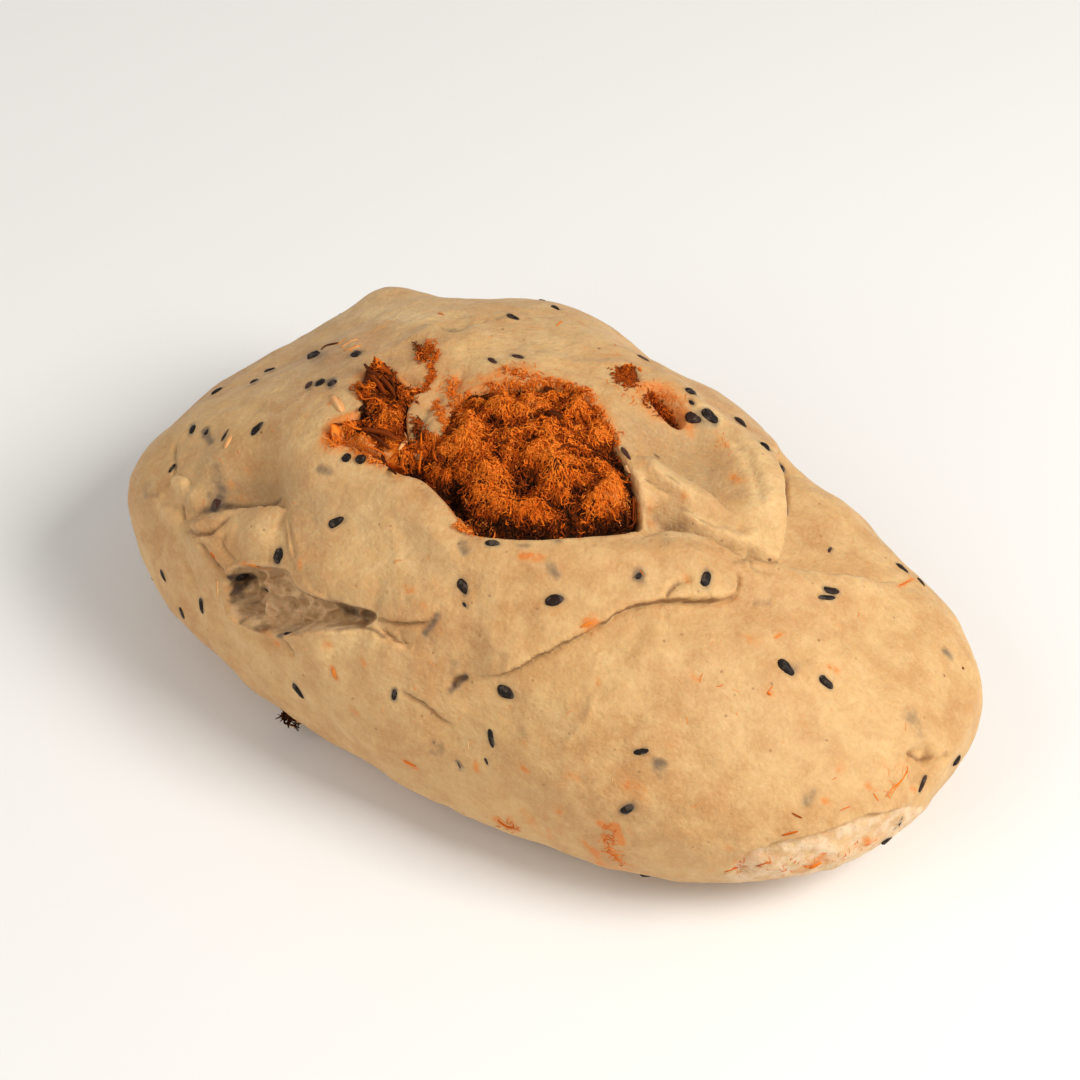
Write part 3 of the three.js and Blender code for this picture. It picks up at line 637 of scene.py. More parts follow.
# %% Fine lines
FINE_LINES = [
    # pixels along it, rise and width in mm
    (((176, 440), (174, 456), (174, 472), (165, 489)), -0.55, 0.5),
    (((171, 486), (179, 479), (187, 487)), 0.8, 1.3), (((174, 473), (187, 477), (192, 489)), -0.5, 0.45),
    (((189, 496), (199, 502), (193, 513)), 0.9, 1.4), (((181, 502), (183, 513), (185, 523)), -0.7, 0.5),
    (((162, 507), (172, 515), (177, 526)), 0.9, 1.5), (((156, 502), (169, 504), (181, 509)), -0.4, 0.5),
    (((144, 498), (155, 499), (165, 493)), 0.35, 0.6),
    (((184, 526), (192, 533), (203, 533.5), (212, 531), (221, 522), (239, 514)), -0.9, 0.45),
    (((192, 537), (203, 538), (213, 536), (222, 528)), 0.4, 0.8),
    (((196, 538), (212, 560), (236, 588)), -0.7, 0.5), (((226, 530), (222, 546), (238, 566)), -0.55, 0.5),
    (((182, 540), (186, 562), (198, 590)), -0.5, 0.8), (((240, 522), (234, 540), (240, 562)), -0.35, 0.9),
    (((206, 540), (222, 560), (234, 574)), 0.5, 1.2),
    (((286, 507), (290, 534), (293, 558), (294, 572)), -0.5, 0.42),
    (((224, 594), (232, 614), (257, 625), (285, 634), (313, 632), (348, 628)), 1.4, 0.8),
    (((224, 592), (232, 577), (239, 568), (257, 565), (285, 567)), 0.9, 0.7),
    (((237, 576), (240, 584), (242, 592)), -1.2, 0.7), (((247, 600), (252, 612)), 0.9, 0.7),
    (((258, 598), (264, 604), (268, 608)), -1.0, 1.6), (((275, 596), (274, 606), (266, 613)), 0.8, 0.6),
    (((284, 634), (286, 645), (296, 660)), -0.6, 0.6),
    (((352, 612), (366, 619), (377, 634), (398, 641)), -0.7, 0.42),
    (((404, 590), (399, 600), (404, 610)), 0.3, 0.8), (((400, 628), (402, 640), (409, 652)), -0.4, 0.6),
    (((642, 466), (660, 478), (680, 492), (698, 505)), 0.9, 0.9),
    (((640, 475), (656, 486), (676, 500)), -0.7, 0.5),
    (((676, 513), (700, 529), (725, 543), (747, 553)), 0.5, 1.2),
    (((672, 506), (695, 518), (722, 531)), -0.6, 0.5), (((652, 505), (660, 520), (672, 536)), -0.8, 1.8),
    (((747, 527), (757, 545), (771, 570)), 0.4, 1.1), (((764, 528), (774, 550), (779, 570)), -0.35, 0.8),
    (((740, 560), (752, 566), (778, 573)), -0.5, 0.5),
    (((700, 413), (722, 427), (740, 445), (752, 467), (760, 490), (764, 508)), -0.7, 0.8),
    (((640, 432), (652, 446), (656, 462)), -0.5, 1.2), (((672, 440), (690, 462), (700, 486)), 0.35, 1.4),
    (((661, 600), (670, 590), (680, 583), (694, 577)), -0.8, 0.42),
    (((682, 600), (698, 598), (712, 593)), -0.5, 0.4),
    (((597, 692), (590, 706), (583, 719), (570, 730)), 0.4, 0.7),
    (((634, 600), (641, 628), (652, 652)), -0.3, 1.2), (((450, 690), (455, 680), (469, 677)), -1.2, 0.55),
    (((503, 650), (498, 668), (502, 674)), -0.4, 0.8), (((604, 760), (596, 790), (610, 820)), 0.3, 1.6),
    (((700, 700), (660, 720), (640, 760)), 0.3, 1.6), (((820, 640), (790, 652), (760, 640)), -0.35, 1.8),
    (((520, 590), (560, 580), (610, 585)), 0.3, 1.6), (((330, 500), (360, 530), (380, 570)), -0.35, 1.8),
    (((300, 470), (318, 500), (326, 540)), 0.3, 1.6), (((905, 748), (922, 760), (940, 754)), -0.8, 0.6),
    (((925, 742), (930, 754), (926, 768)), -0.6, 0.6), (((210, 412), (240, 404), (280, 414)), -0.4, 1.3),
    (((330, 320), (350, 338), (352, 362)), 0.35, 1.4), (((446, 396), (428, 408), (418, 428)), -0.9, 0.8),
    (((404, 374), (412, 380), (418, 384)), -1.0, 0.9), (((436, 420), (430, 432), (426, 444)), 0.4, 0.7),
    (((452, 372), (446, 392), (434, 412)), 0.35, 0.8), (((462, 366), (458, 384), (450, 400)), -0.35, 0.6),
    (((380, 500), (410, 520), (440, 530)), 0.3, 1.2), (((470, 610), (500, 618), (540, 612)), -0.3, 1.4),
    (((760, 700), (800, 716), (850, 706)), -0.3, 1.6),
    (((712, 598), (730, 597), (738, 588), (739, 576), (735, 564)), -0.6, 0.42),
    (((783, 470), (786, 490), (787, 514)), -1.1, 0.5), (((664, 478), (684, 492), (702, 503)), -0.5, 0.45),
    (((300, 568), (312, 590), (340, 602), (372, 611)), 0.5, 0.5),
    (((314, 634), (340, 630), (362, 627)), 0.6, 0.6), (((747, 540), (749, 552), (744, 558)), -0.5, 0.4),
    (((280, 505), (262, 506), (240, 509), (215, 513)), 0.35, 0.5),
    (((676, 500), (700, 514), (716, 512)), -0.4, 0.6), (((655, 486), (676, 504), (700, 526)), 0.5, 1.4),
]
FINE_EDGE = 0.42  # mm, the shortest edges of the mesh on them
LINE_STEPS = 4


def direction_line(pixels):
    """A line through pixels as points on the plain loaf."""
    return loaf(np.array([direction_at(pixel) for pixel in spline(pixels, steps=LINE_STEPS)]))


fine_lines += [(direction_line(pixels), rise, width) for pixels, rise, width in FINE_LINES]
print(len(fine_lines), "fine lines")

# %% [markdown]
# ## What stains the dough
# Fat and spice from the floss colour the dough orange in places, and seeds under the skin show
# through as grey shadows. Where the dough was stretched it is thin and a little see-through, and
# where it was folded double it is a lighter cream. Some strokes are painted light and shade: the
# cream strokes also brighten lit bands and rims, the thin strokes also darken shaded valleys and
# the dome's dish, and the dark strokes are painted shade in holes, hollows and under edges.
# Painting a picture would need image files, so each stain is a short stroke between two pixels of
# the picture, with a width in millimetres and a strength. They become numbers on the mesh that
# the finish reads.

# %% Orange strokes
ORANGE_STROKES = [
    # start pixel, end pixel, radius in mm, strength
    (450, 384, 462, 422, 2.4, 0.5), (432, 404, 448, 432, 2.2, 0.5), (458, 376, 474, 396, 2.0, 0.4),
    (498, 372, 522, 368, 2.4, 0.6), (522, 370, 560, 382, 2.0, 0.55), (560, 380, 592, 396, 1.6, 0.4),
    (600, 400, 616, 440, 1.2, 0.35), (330, 444, 352, 436, 2.0, 0.7), (348, 450, 376, 462, 2.0, 0.7),
    (344, 430, 360, 434, 1.6, 0.6), (404, 398, 432, 386, 1.4, 0.45), (428, 372, 426, 350, 1.6, 0.4),
    (356, 378, 362, 400, 1.4, 0.4), (612, 366, 640, 386, 1.6, 0.4), (734, 476, 738, 480, 0.9, 0.6),
    (728, 478, 752, 486, 2.6, 0.2), (717, 431, 726, 446, 0.9, 0.4), (724, 448, 734, 462, 2.4, 0.2),
    (680, 425, 692, 433, 1.0, 0.5), (683, 497, 683, 500, 0.9, 0.5), (650, 505, 652, 520, 1.6, 0.45),
    (640, 455, 648, 470, 1.6, 0.3), (740, 525, 741, 528, 1.0, 0.3), (638, 392, 662, 388, 1.6, 0.35),
    (668, 392, 680, 404, 1.4, 0.3), (634, 396, 652, 412, 1.6, 0.4), (344, 348, 358, 341, 1.3, 0.45),
    (634, 384, 650, 396, 1.5, 0.5), (640, 408, 650, 424, 1.4, 0.3), (480, 378, 500, 388, 1.4, 0.5),
    (652, 412, 672, 428, 1.2, 0.4), (522, 556, 542, 558, 1.0, 0.75), (586, 625, 594, 622, 1.2, 0.8),
    (597, 679, 598, 683, 0.8, 0.6), (554, 611, 560, 612, 1.2, 0.4), (522, 645, 526, 645, 1.0, 0.35),
    (473, 594, 474, 597, 0.9, 0.4), (434, 579, 435, 582, 0.8, 0.4), (423, 604, 425, 607, 0.7, 0.5),
    (439, 626, 441, 633, 0.9, 0.4), (406, 586, 408, 592, 0.7, 0.6), (414, 589, 415, 591, 0.6, 0.6),
    (686, 576, 688, 581, 0.7, 0.65), (692, 675, 698, 679, 0.9, 0.55), (745, 637, 748, 640, 0.9, 0.45),
    (774, 638, 782, 634, 0.6, 0.6), (767, 692, 771, 694, 1.0, 0.55), (803, 722, 806, 725, 1.0, 0.3),
    (668, 745, 670, 747, 0.9, 0.3), (405, 759, 415, 767, 0.9, 0.8), (475, 763, 477, 770, 0.7, 0.7),
    (523, 767, 527, 770, 0.7, 0.75), (570, 774, 576, 778, 1.0, 0.6), (523, 741, 526, 744, 1.0, 0.4),
    (470, 744, 473, 743, 0.7, 0.45), (559, 807, 560, 812, 0.9, 0.5), (541, 808, 544, 815, 1.1, 0.35),
    (498, 820, 512, 829, 1.6, 0.85), (510, 816, 514, 826, 0.8, 0.6), (524, 812, 530, 820, 1.4, 0.3),
    (600, 824, 610, 828, 1.0, 0.8), (614, 828, 620, 838, 0.9, 0.8), (604, 838, 612, 852, 1.1, 0.7),
    (596, 850, 602, 862, 1.1, 0.7), (612, 850, 618, 858, 0.9, 0.7), (622, 862, 634, 866, 1.2, 0.5),
    (628, 828, 631, 835, 0.8, 0.5), (548, 830, 550, 838, 0.8, 0.5), (590, 868, 612, 872, 1.5, 0.6),
    (584, 842, 592, 850, 0.9, 0.6), (616, 826, 622, 842, 0.6, 0.9), (598, 862, 630, 870, 1.0, 0.6),
    (524, 812, 540, 836, 1.6, 0.3), (556, 812, 560, 832, 1.0, 0.35), (620, 770, 632, 790, 1.6, 0.3),
    (740, 862, 775, 856, 2.0, 0.4), (806, 868, 830, 862, 1.6, 0.5), (850, 850, 880, 842, 1.6, 0.35),
    (752, 640, 758, 644, 1.4, 0.3), (627, 786, 634, 792, 1.6, 0.35), (643, 788, 647, 800, 1.0, 0.35),
    (829, 667, 836, 670, 0.9, 0.65), (837, 624, 842, 627, 0.8, 0.4), (869, 562, 871, 565, 0.8, 0.4),
    (899, 586, 912, 579, 0.7, 0.7), (827, 614, 832, 616, 0.7, 0.35), (796, 616, 800, 622, 2.2, 0.18),
    (917, 690, 919, 693, 1.0, 0.3), (838, 770, 843, 766, 1.0, 0.55), (900, 764, 905, 768, 1.2, 0.4),
    (885, 762, 887, 766, 0.9, 0.4), (912, 788, 916, 791, 0.8, 0.7), (868, 785, 871, 787, 0.7, 0.8),
    (824, 800, 829, 803, 0.8, 0.7), (812, 865, 822, 858, 1.2, 0.8), (794, 872, 802, 873, 0.9, 0.6),
    (866, 839, 869, 842, 0.7, 0.8), (702, 876, 712, 870, 1.2, 0.35), (728, 847, 729, 850, 0.8, 0.5),
    (850, 838, 880, 832, 2.4, 0.3), (531, 327, 540, 327, 1.1, 0.4), (558, 321, 561, 325, 0.7, 0.4),
    (604, 356, 620, 355, 0.9, 0.5), (617, 341, 621, 344, 0.9, 0.6), (532, 348, 536, 344, 0.8, 0.3),
    (424, 312, 442, 314, 0.9, 0.45), (246, 470, 247, 472, 0.7, 0.6), (230, 483, 231, 485, 0.9, 0.6),
    (243, 497, 244, 500, 0.9, 0.5), (211, 553, 216, 559, 0.7, 0.7), (249, 564, 262, 567, 0.8, 0.6),
    (275, 641, 277, 645, 0.9, 0.65), (271, 629, 274, 633, 1.1, 0.5), (326, 643, 330, 646, 0.9, 0.6),
    (362, 659, 365, 665, 0.8, 0.6), (333, 669, 336, 677, 0.8, 0.85), (351, 710, 356, 714, 0.8, 0.5),
    (298, 563, 300, 569, 0.9, 0.65), (378, 327, 386, 328, 0.9, 0.5), (386, 321, 389, 323, 0.8, 0.5),
    (303, 415, 308, 417, 1.1, 0.4), (329, 403, 330, 406, 0.6, 0.7), (392, 462, 398, 474, 1.6, 0.3),
    (337, 541, 339, 543, 0.8, 0.35),
]

# %% Cream strokes, partly painted light, and dark strokes of painted shade
# Lighter cream of dough folded double, and painted light on the dome's lit band, fold strips and rims.
CREAM_AND_LIGHT_STROKES = [
    (238, 520, 276, 542, 3.2, 0.5), (322, 642, 372, 642, 2.2, 0.75), (330, 662, 390, 692, 4.5, 0.3),
    (706, 408, 748, 446, 2.4, 0.8), (752, 460, 769, 508, 2.9, 0.95), (652, 468, 698, 500, 1.4, 0.8),
    (682, 514, 740, 546, 1.8, 0.7), (756, 530, 768, 566, 1.6, 0.6), (300, 440, 330, 480, 4.0, 0.3),
    (690, 650, 740, 720, 7.0, 0.25), (850, 690, 890, 740, 7.0, 0.3), (350, 308, 420, 318, 3.5, 0.8),
    (176, 480, 196, 494, 1.5, 0.6), (160, 506, 178, 522, 1.8, 0.6), (370, 520, 440, 560, 5.0, 0.5),
    (760, 856, 860, 850, 4.0, 0.8), (740, 545, 770, 560, 2.0, 0.6), (642, 476, 648, 528, 1.6, 0.7),
    (800, 586, 880, 590, 1.4, 0.5), (360, 612, 384, 622, 1.6, 0.6), (600, 660, 640, 680, 5.0, 0.2),
    (470, 330, 560, 340, 5.0, 0.2), (640, 536, 700, 541, 1.0, 0.5),
]
# Painted shade: in the tear, in hollows, under flap edges, along creases and above the side flap.
DARK_SHADE_STROKES = [
    (238, 576, 240, 590, 0.6, 0.85), (247, 574, 240, 578, 0.5, 0.6), (243, 592, 243, 598, 0.4, 0.6),
    (350, 610, 374, 616, 1.3, 0.6), (300, 588, 344, 604, 0.7, 0.45), (262, 626, 310, 632, 0.7, 0.4),
    (656, 514, 680, 532, 1.8, 0.42), (785, 478, 787, 513, 0.5, 0.7), (735, 562, 775, 571, 0.7, 0.42),
    (775, 571, 820, 580, 0.7, 0.3), (690, 541, 722, 552, 0.6, 0.3), (417, 428, 420, 442, 0.9, 0.85),
    (404, 376, 414, 381, 1.2, 0.4), (656, 453, 659, 456, 0.4, 0.7), (210, 495, 214, 508, 0.9, 0.5),
    (226, 506, 280, 500, 1.0, 0.55), (206, 510, 226, 506, 0.9, 0.5), (186, 524, 206, 512, 0.6, 0.45),
    (232, 600, 250, 619, 0.5, 0.4), (250, 619, 274, 629, 0.5, 0.4), (256, 600, 264, 610, 0.8, 0.25),
    (664, 479, 678, 487, 0.4, 0.45), (640, 504, 650, 530, 0.8, 0.3),
]

# %% Thin strokes, partly painted shade, and grey strokes
# Thin, see-through dough, and painted shade in the left valley, on the left shoulder and in the dome's dish.
THIN_AND_SHADE_STROKES = [
    (215, 470, 240, 496, 4.2, 0.85), (226, 494, 274, 500, 3.0, 0.7), (640, 430, 700, 440, 4.0, 0.4),
    (216, 504, 270, 498, 1.6, 0.7), (190, 500, 206, 508, 2.0, 0.5), (262, 440, 280, 480, 3.0, 0.3),
    (168, 440, 180, 470, 3.0, 0.5), (140, 470, 150, 520, 4.0, 0.4), (190, 520, 214, 520, 1.6, 0.6),
    (664, 478, 676, 488, 0.8, 0.6), (652, 520, 684, 534, 2.2, 0.6), (414, 402, 424, 432, 2.4, 0.7),
    (404, 376, 416, 384, 1.4, 0.8), (655, 440, 690, 470, 6.5, 0.92), (690, 440, 740, 490, 4.5, 0.5),
    (292, 492, 336, 516, 4.2, 0.85), (200, 512, 272, 500, 3.2, 0.9), (215, 440, 222, 480, 3.6, 0.6),
    (296, 500, 316, 560, 4.0, 0.45), (655, 520, 690, 540, 3.0, 0.5), (190, 536, 232, 566, 4.0, 0.35),
    (350, 588, 400, 600, 3.0, 0.25), (310, 366, 345, 372, 3.0, 0.4), (430, 410, 452, 376, 3.0, 0.4),
    (340, 352, 360, 366, 3.0, 0.4), (440, 331, 480, 328, 2.2, 0.5), (690, 700, 740, 730, 7.0, 0.15),
    (420, 700, 480, 750, 6.0, 0.2), (780, 500, 820, 530, 5.0, 0.2),
]
GREY_STROKES = [
    (462, 542, 465, 551, 1.0, 0.7), (656, 764, 662, 762, 0.5, 0.9), (519, 545, 528, 545, 0.7, 0.55),
    (554, 541, 560, 541, 0.9, 0.6), (552, 571, 557, 576, 1.1, 0.65), (545, 560, 549, 564, 1.1, 0.4),
    (438, 616, 426, 633, 0.8, 0.9), (433, 632, 434, 640, 1.3, 0.35), (464, 677, 450, 690, 0.8, 0.85),
    (455, 663, 450, 674, 0.9, 0.4), (521, 729, 525, 736, 1.0, 0.35), (757, 602, 769, 602, 0.9, 0.5),
    (797, 668, 810, 663, 1.2, 0.3), (945, 652, 951, 657, 1.0, 0.7), (940, 668, 944, 682, 1.6, 0.22),
    (908, 714, 920, 732, 2.2, 0.4), (912, 716, 916, 718, 1.0, 0.3), (655, 762, 664, 764, 0.7, 0.9),
    (657, 768, 662, 776, 1.5, 0.45), (433, 742, 440, 752, 1.2, 0.4), (441, 744, 441, 752, 0.5, 0.4),
    (430, 752, 434, 755, 0.6, 0.4), (807, 802, 813, 793, 0.9, 0.6), (800, 795, 806, 800, 1.6, 0.25),
    (320, 469, 329, 471, 1.1, 0.65), (444, 331, 456, 331, 1.2, 0.5), (497, 319, 505, 317, 0.8, 0.5),
    (204, 431, 211, 442, 1.0, 0.85), (218, 468, 222, 488, 1.4, 0.5), (212, 480, 224, 490, 0.7, 0.4),
    (144, 490, 150, 482, 1.3, 0.4), (146, 497, 160, 496, 0.7, 0.5), (330, 596, 343, 601, 1.0, 0.45),
    (300, 527, 301, 531, 1.0, 0.35), (432, 442, 440, 426, 1.4, 0.45), (424, 430, 418, 446, 1.2, 0.6),
    (446, 404, 452, 380, 2.0, 0.25), (400, 470, 426, 490, 3.0, 0.25), (436, 500, 446, 520, 2.6, 0.28),
    (330, 354, 350, 362, 3.5, 0.25), (664, 545, 674, 530, 2.0, 0.3), (232, 352, 246, 344, 3.0, 0.2),
    (638, 572, 641, 580, 1.2, 0.5), (316, 360, 322, 368, 1.6, 0.3), (500, 358, 512, 362, 2.4, 0.25),
    (650, 440, 668, 470, 3.5, 0.15), (697, 422, 704, 430, 2.2, 0.3), (524, 700, 534, 720, 4.0, 0.12),
    (352, 585, 366, 578, 3.0, 0.15),
]

# %% Strokes on the loaf
STROKES = {
    "orange": ORANGE_STROKES, "cream": CREAM_AND_LIGHT_STROKES, "dark": DARK_SHADE_STROKES, "thin": THIN_AND_SHADE_STROKES,
    "grey": GREY_STROKES,
}


def stroke_distance(points, start, end):
    """Distance of points from the straight stretch between two points."""
    run = end - start
    share = np.clip((points - start) @ run / max(run @ run, 1e-9), 0, 1)
    return np.linalg.norm(points - start - share[:, None] * run, axis=1)


def on_loaf(pixel):
    return loaf(direction_at(pixel)[None])[0]


def covered(points, strokes):
    """How strongly the strokes colour each point, from 0 to 1."""
    clear = np.ones(len(points))
    for start, end, radius, strength in strokes:
        clear *= 1 - strength * bell(stroke_distance(points, start, end), radius)
    return 1 - clear


LOAF_STROKES = {
    kind: [(on_loaf(row[:2]), on_loaf(row[2:4]), *row[4:]) for row in strokes]
    for kind, strokes in STROKES.items()
}
print({kind: len(strokes) for kind, strokes in STROKES.items()}, "strokes")

# %% [markdown]
# ## The sesame seeds
# Black sesame is a flat drop about 3 mm long. Those that the picture shows are set where it
# shows them, each turned as it is there; the sides that the picture doesn't show get as many,
# spread by the golden angle. The list comes before the dough because the dough turns grey
# round each seed.

# %% Seeds that the picture shows
SEEDS = [
    # pixel, turn in the picture in degrees, length and width in mm, how far it stands out, tone
    (314.5, 356, -25, 2.7, 2.6, 0.6, 0), (356, 354, 20, 1.9, 2.1, 0.45, 0),
    (270, 370, 20, 2.4, 1.6, 0.4, 0), (254, 381, 40, 2.4, 1.3, 0.4, 0), (217, 391, 35, 2.4, 1.6, 0.5, 0),
    (309, 385, 60, 2.6, 1.3, 0.5, 0.5), (320.5, 382.5, 10, 1.8, 2.0, 0.5, 0),
    (332, 383, 75, 2.3, 1.8, 0.5, 0.15), (192.5, 429, 82, 2.6, 1.4, 0.5, 0),
    (206.5, 432, 75, 1.5, 1.0, 0.4, 0), (225, 435, 60, 3.0, 0.7, 0.4, 0.2),
    (257, 428.5, 48, 3.0, 1.6, 0.5, 0), (172, 468, 55, 2.0, 0.7, 0.5, 0),
    (217, 503, 60, 3.0, 1.8, 0.3, 0.6), (346.5, 457.5, 40, 1.7, 1.7, 0.5, 0),
    (361, 459.5, 40, 1.8, 1.7, 0.7, 0), (336.5, 522, 30, 2.9, 1.7, 0.5, 0),
    (278.4, 556, 72, 2.9, 1.9, 0.5, 0), (242.5, 577, 20, 2.6, 1.8, 0.5, 0),
    (266.5, 589.5, 0, 2.2, 1.0, 0.5, 0), (163, 575.5, -68, 2.4, 1.0, 0.5, 0),
    (201.5, 606, -84, 3.1, 1.3, 0.5, 0), (182, 613, -70, 2.4, 0.9, 0.6, 0),
    (288.6, 633.3, 10, 1.6, 1.0, 0.5, 0), (298.4, 691, -56, 3.2, 1.7, 0.55, 0),
    (394.5, 694.5, 82, 2.4, 1.1, 0.35, 0.1), (463, 586.5, -70, 2.9, 1.7, 0.5, 0.1),
    (464.5, 605, -45, 1.1, 0.6, 0.4, 0), (492.5, 543, -8, 2.4, 1.4, 0.45, 0),
    (554.5, 600.2, 12, 3.1, 1.9, 0.55, 0.15), (506, 692, -35, 3.3, 1.9, 0.55, 0),
    (491, 738.5, -80, 3.3, 1.1, 0.45, 0), (486.3, 761.5, -65, 1.5, 0.5, 0.4, 0.2),
    (459.6, 766.5, -66, 2.4, 0.6, 0.2, 0.4), (638.6, 575.8, 60, 1.4, 1.1, 0.4, 0.1),
    (706, 578.6, 82, 3.0, 1.8, 0.45, 0.05), (640.8, 751.6, 10, 2.6, 1.2, 0.35, 0),
    (628, 808.5, 28, 3.0, 1.7, 0.35, 0), (786.2, 667.5, -45, 3.4, 1.9, 0.55, 0),
    (826.4, 682.3, -42, 3.0, 1.7, 0.5, 0.1), (831, 590.2, -7, 3.2, 1.4, 0.45, 0.15),
    (826.4, 597.6, 0, 3.6, 1.0, 0.5, 0), (830, 549.6, 60, 1.8, 0.6, 0.4, 0.5),
    (902.2, 568, -36, 2.6, 1.3, 0.5, 0), (921, 582, -50, 2.2, 0.9, 0.6, 0.1),
    (956.5, 760.6, 48, 2.5, 1.5, 0.6, 0), (923, 783, 68, 3.3, 1.0, 0.5, 0.3),
    (899.8, 824, 66, 3.4, 0.7, 0.3, 0.45), (887, 839.5, 35, 2.5, 1.5, 0.6, 0),
    (513, 317, -25, 2.6, 1.4, 0.5, 0), (492.5, 360.5, -35, 2.5, 1.1, 0.4, 0.5),
    (518, 356.5, -15, 2.6, 1.2, 0.4, 0.45), (555.5, 308, -30, 2.2, 1.0, 0.6, 0),
    (643.5, 358.4, -28, 2.6, 1.0, 0.5, 0.5), (691.4, 391.8, -15, 2.6, 1.8, 0.5, 0.1),
    (691.6, 402.6, -45, 1.3, 0.9, 0.4, 0.1), (693.3, 417.8, -25, 2.9, 2.1, 0.5, 0.25),
    (710.4, 416.2, -42, 3.5, 1.9, 0.55, 0), (740.5, 422.3, -42, 3.1, 1.7, 0.5, 0.2),
    (765.4, 446.5, -45, 2.2, 1.8, 0.5, 0), (781.5, 468, -60, 1.8, 1.2, 0.4, 0.2),
    (625.7, 453.5, -55, 3.2, 0.8, 0.6, 0.7),
]
SEED_THICKNESS = 0.55  # of its width
print(len(SEEDS), "seeds set by the picture")

# %% [markdown]
# ## The dough
# The ball is split into small triangles only where the skin turns sharply or carries a small
# stain: along folds, at the rims of the hollows and round strokes and seeds. Splitting is the
# work of one bmesh operator on picked edges. A subdivision surface would spend as many
# triangles on the plain underside as on the folds.

# %% Refining the ball
RIM_EDGE = 0.5
RIM_MIDDLE = 0.8  # the sharpest bend lies this far inside an outline
FOLD_EDGE = 0.34
SPOT_EDGE = 0.5
PLAIN_EDGE = 1.1
CRUMB_EDGE = 0.5
UNDERSIDE_EDGE = 2.6
EDGE_GROWTH = 0.32  # how fast the longest edge grows away from a detail
UNDERSIDE_FROM = -0.35  # directions lower than this meet the underside
FINE_SHARE = 0.6  # longest edge on a fine line, as a share of its width
FOLD_REACH = 4  # mm round a fold where edges are kept short
LINE_REACH = 3
LINE_SLACK = 0.1
SMALL_STROKE = 1.5  # mm; only narrower strokes need short edges
STROKE_REACH = 1.8  # of its radius
SPLIT_FROM = 1.4  # an edge is split when it is longer than its limit by this factor
REFINE_ROUNDS = 3
START_ROUNDS = 6


def edge_limits(directions):
    """The longest edge that each point of the skin allows."""
    points, normals = loaf(directions), outward(directions)
    limit = np.where(directions[:, 2] < UNDERSIDE_FROM, UNDERSIDE_EDGE, PLAIN_EDGE)
    hollow = inside_hollows(points, directions)
    for distance in hollow.values():
        limit = np.minimum(limit, np.maximum(RIM_EDGE, EDGE_GROWTH * np.abs(distance - RIM_MIDDLE)))
    limit = np.where(hollow["tear"] > 0, CRUMB_EDGE, limit)
    for made in FOLDS.values():
        distance = np.abs(beside(points, normals, made["line"], FOLD_REACH)[0])
        limit = np.minimum(limit, np.maximum(FOLD_EDGE, EDGE_GROWTH * distance))
    for line, rise, width in fine_lines:
        distance = np.abs(beside(points, normals, line, LINE_REACH)[0])
        shortest = max(FINE_EDGE, FINE_SHARE * width)
        limit = np.minimum(limit, np.maximum(shortest, EDGE_GROWTH * distance + LINE_SLACK))
    for strokes in LOAF_STROKES.values():
        for start, end, radius, strength in strokes:
            if radius < SMALL_STROKE:
                near = stroke_distance(points, start, end) < STROKE_REACH * radius
                limit = np.where(near, np.minimum(limit, SPOT_EDGE), limit)
    return limit


def refine(made, rounds):
    """Splits every edge that is longer than its ends allow."""
    for _ in range(rounds):
        directions = directions_of(made)
        points, limits = loaf(directions), edge_limits(directions)
        made.edges.ensure_lookup_table()
        ends = np.array([[v.index for v in edge.verts] for edge in made.edges])
        lengths = np.linalg.norm(points[ends[:, 0]] - points[ends[:, 1]], axis=1)
        long_ones = np.nonzero(lengths > SPLIT_FROM * limits[ends].min(1))[0]
        if len(long_ones) == 0:
            break
        bmesh.ops.subdivide_edges(made, edges=[made.edges[i] for i in long_ones], cuts=1)
        bmesh.ops.triangulate(made, faces=[face for face in made.faces if len(face.verts) > 3])
        made.verts.index_update()


def add_object(name, made, shade_smooth=True):
    """Writes a bmesh as an object of the scene."""
    mesh = bpy.data.meshes.new(name)
    made.to_mesh(mesh)
    made.free()
    mesh.polygons.foreach_set("use_smooth", [shade_smooth] * len(mesh.polygons))
    piece = bpy.data.objects.new(name, mesh)
    bpy.context.scene.collection.objects.link(piece)
    return piece


def set_numbers(piece, name, values):
    """One number on each point of a piece, for its finish to read."""
    attribute = piece.data.attributes.new(name, "FLOAT", "POINT")
    attribute.data.foreach_set("value", np.asarray(values, np.float32))


skin_ball = ball(START_ROUNDS)
refine(skin_ball, REFINE_ROUNDS)
skin_directions = directions_of(skin_ball)
skin_points, skin_hollow, skin_crease_shade = skin(skin_directions)
for vertex, place in zip(skin_ball.verts, to_frame(skin_points)):
    vertex.co = place
bmesh.ops.recalc_face_normals(skin_ball, faces=skin_ball.faces)
dough = add_object("dough_skin", skin_ball)
print("dough:", len(dough.data.polygons), "triangles")

# %% [markdown]
# ## Numbers for the dough's finish
# The finish needs to know how orange, grey, thin, creamy and dark each place is, how torn, how
# floury and how deep in a crease. The strokes give the first five, and every seed adds a grey
# halo, because the dough round it is see-through. The thin and dark numbers also carry painted
# shade, the cream number painted light, and the crease number painted shade along grooves. The
# rims of the pocket and the pit add orange where floss lies on them, and the lower right, where
# the dough was pressed on its underside, is pale and floury.

# %% Halo of each seed
PIXEL_STEP = 0.17  # mm on the bun that one pixel shows
HALO_LENGTH = 0.3  # half of it, as a share of the seed's length
HALO_RADIUS = 0.27  # mm, and more round a wide seed
HALO_WIDENING = 0.45
HALO_STRENGTH = 0.85
HALO_PROUD = 1.4  # a seed that stands out this far would have none

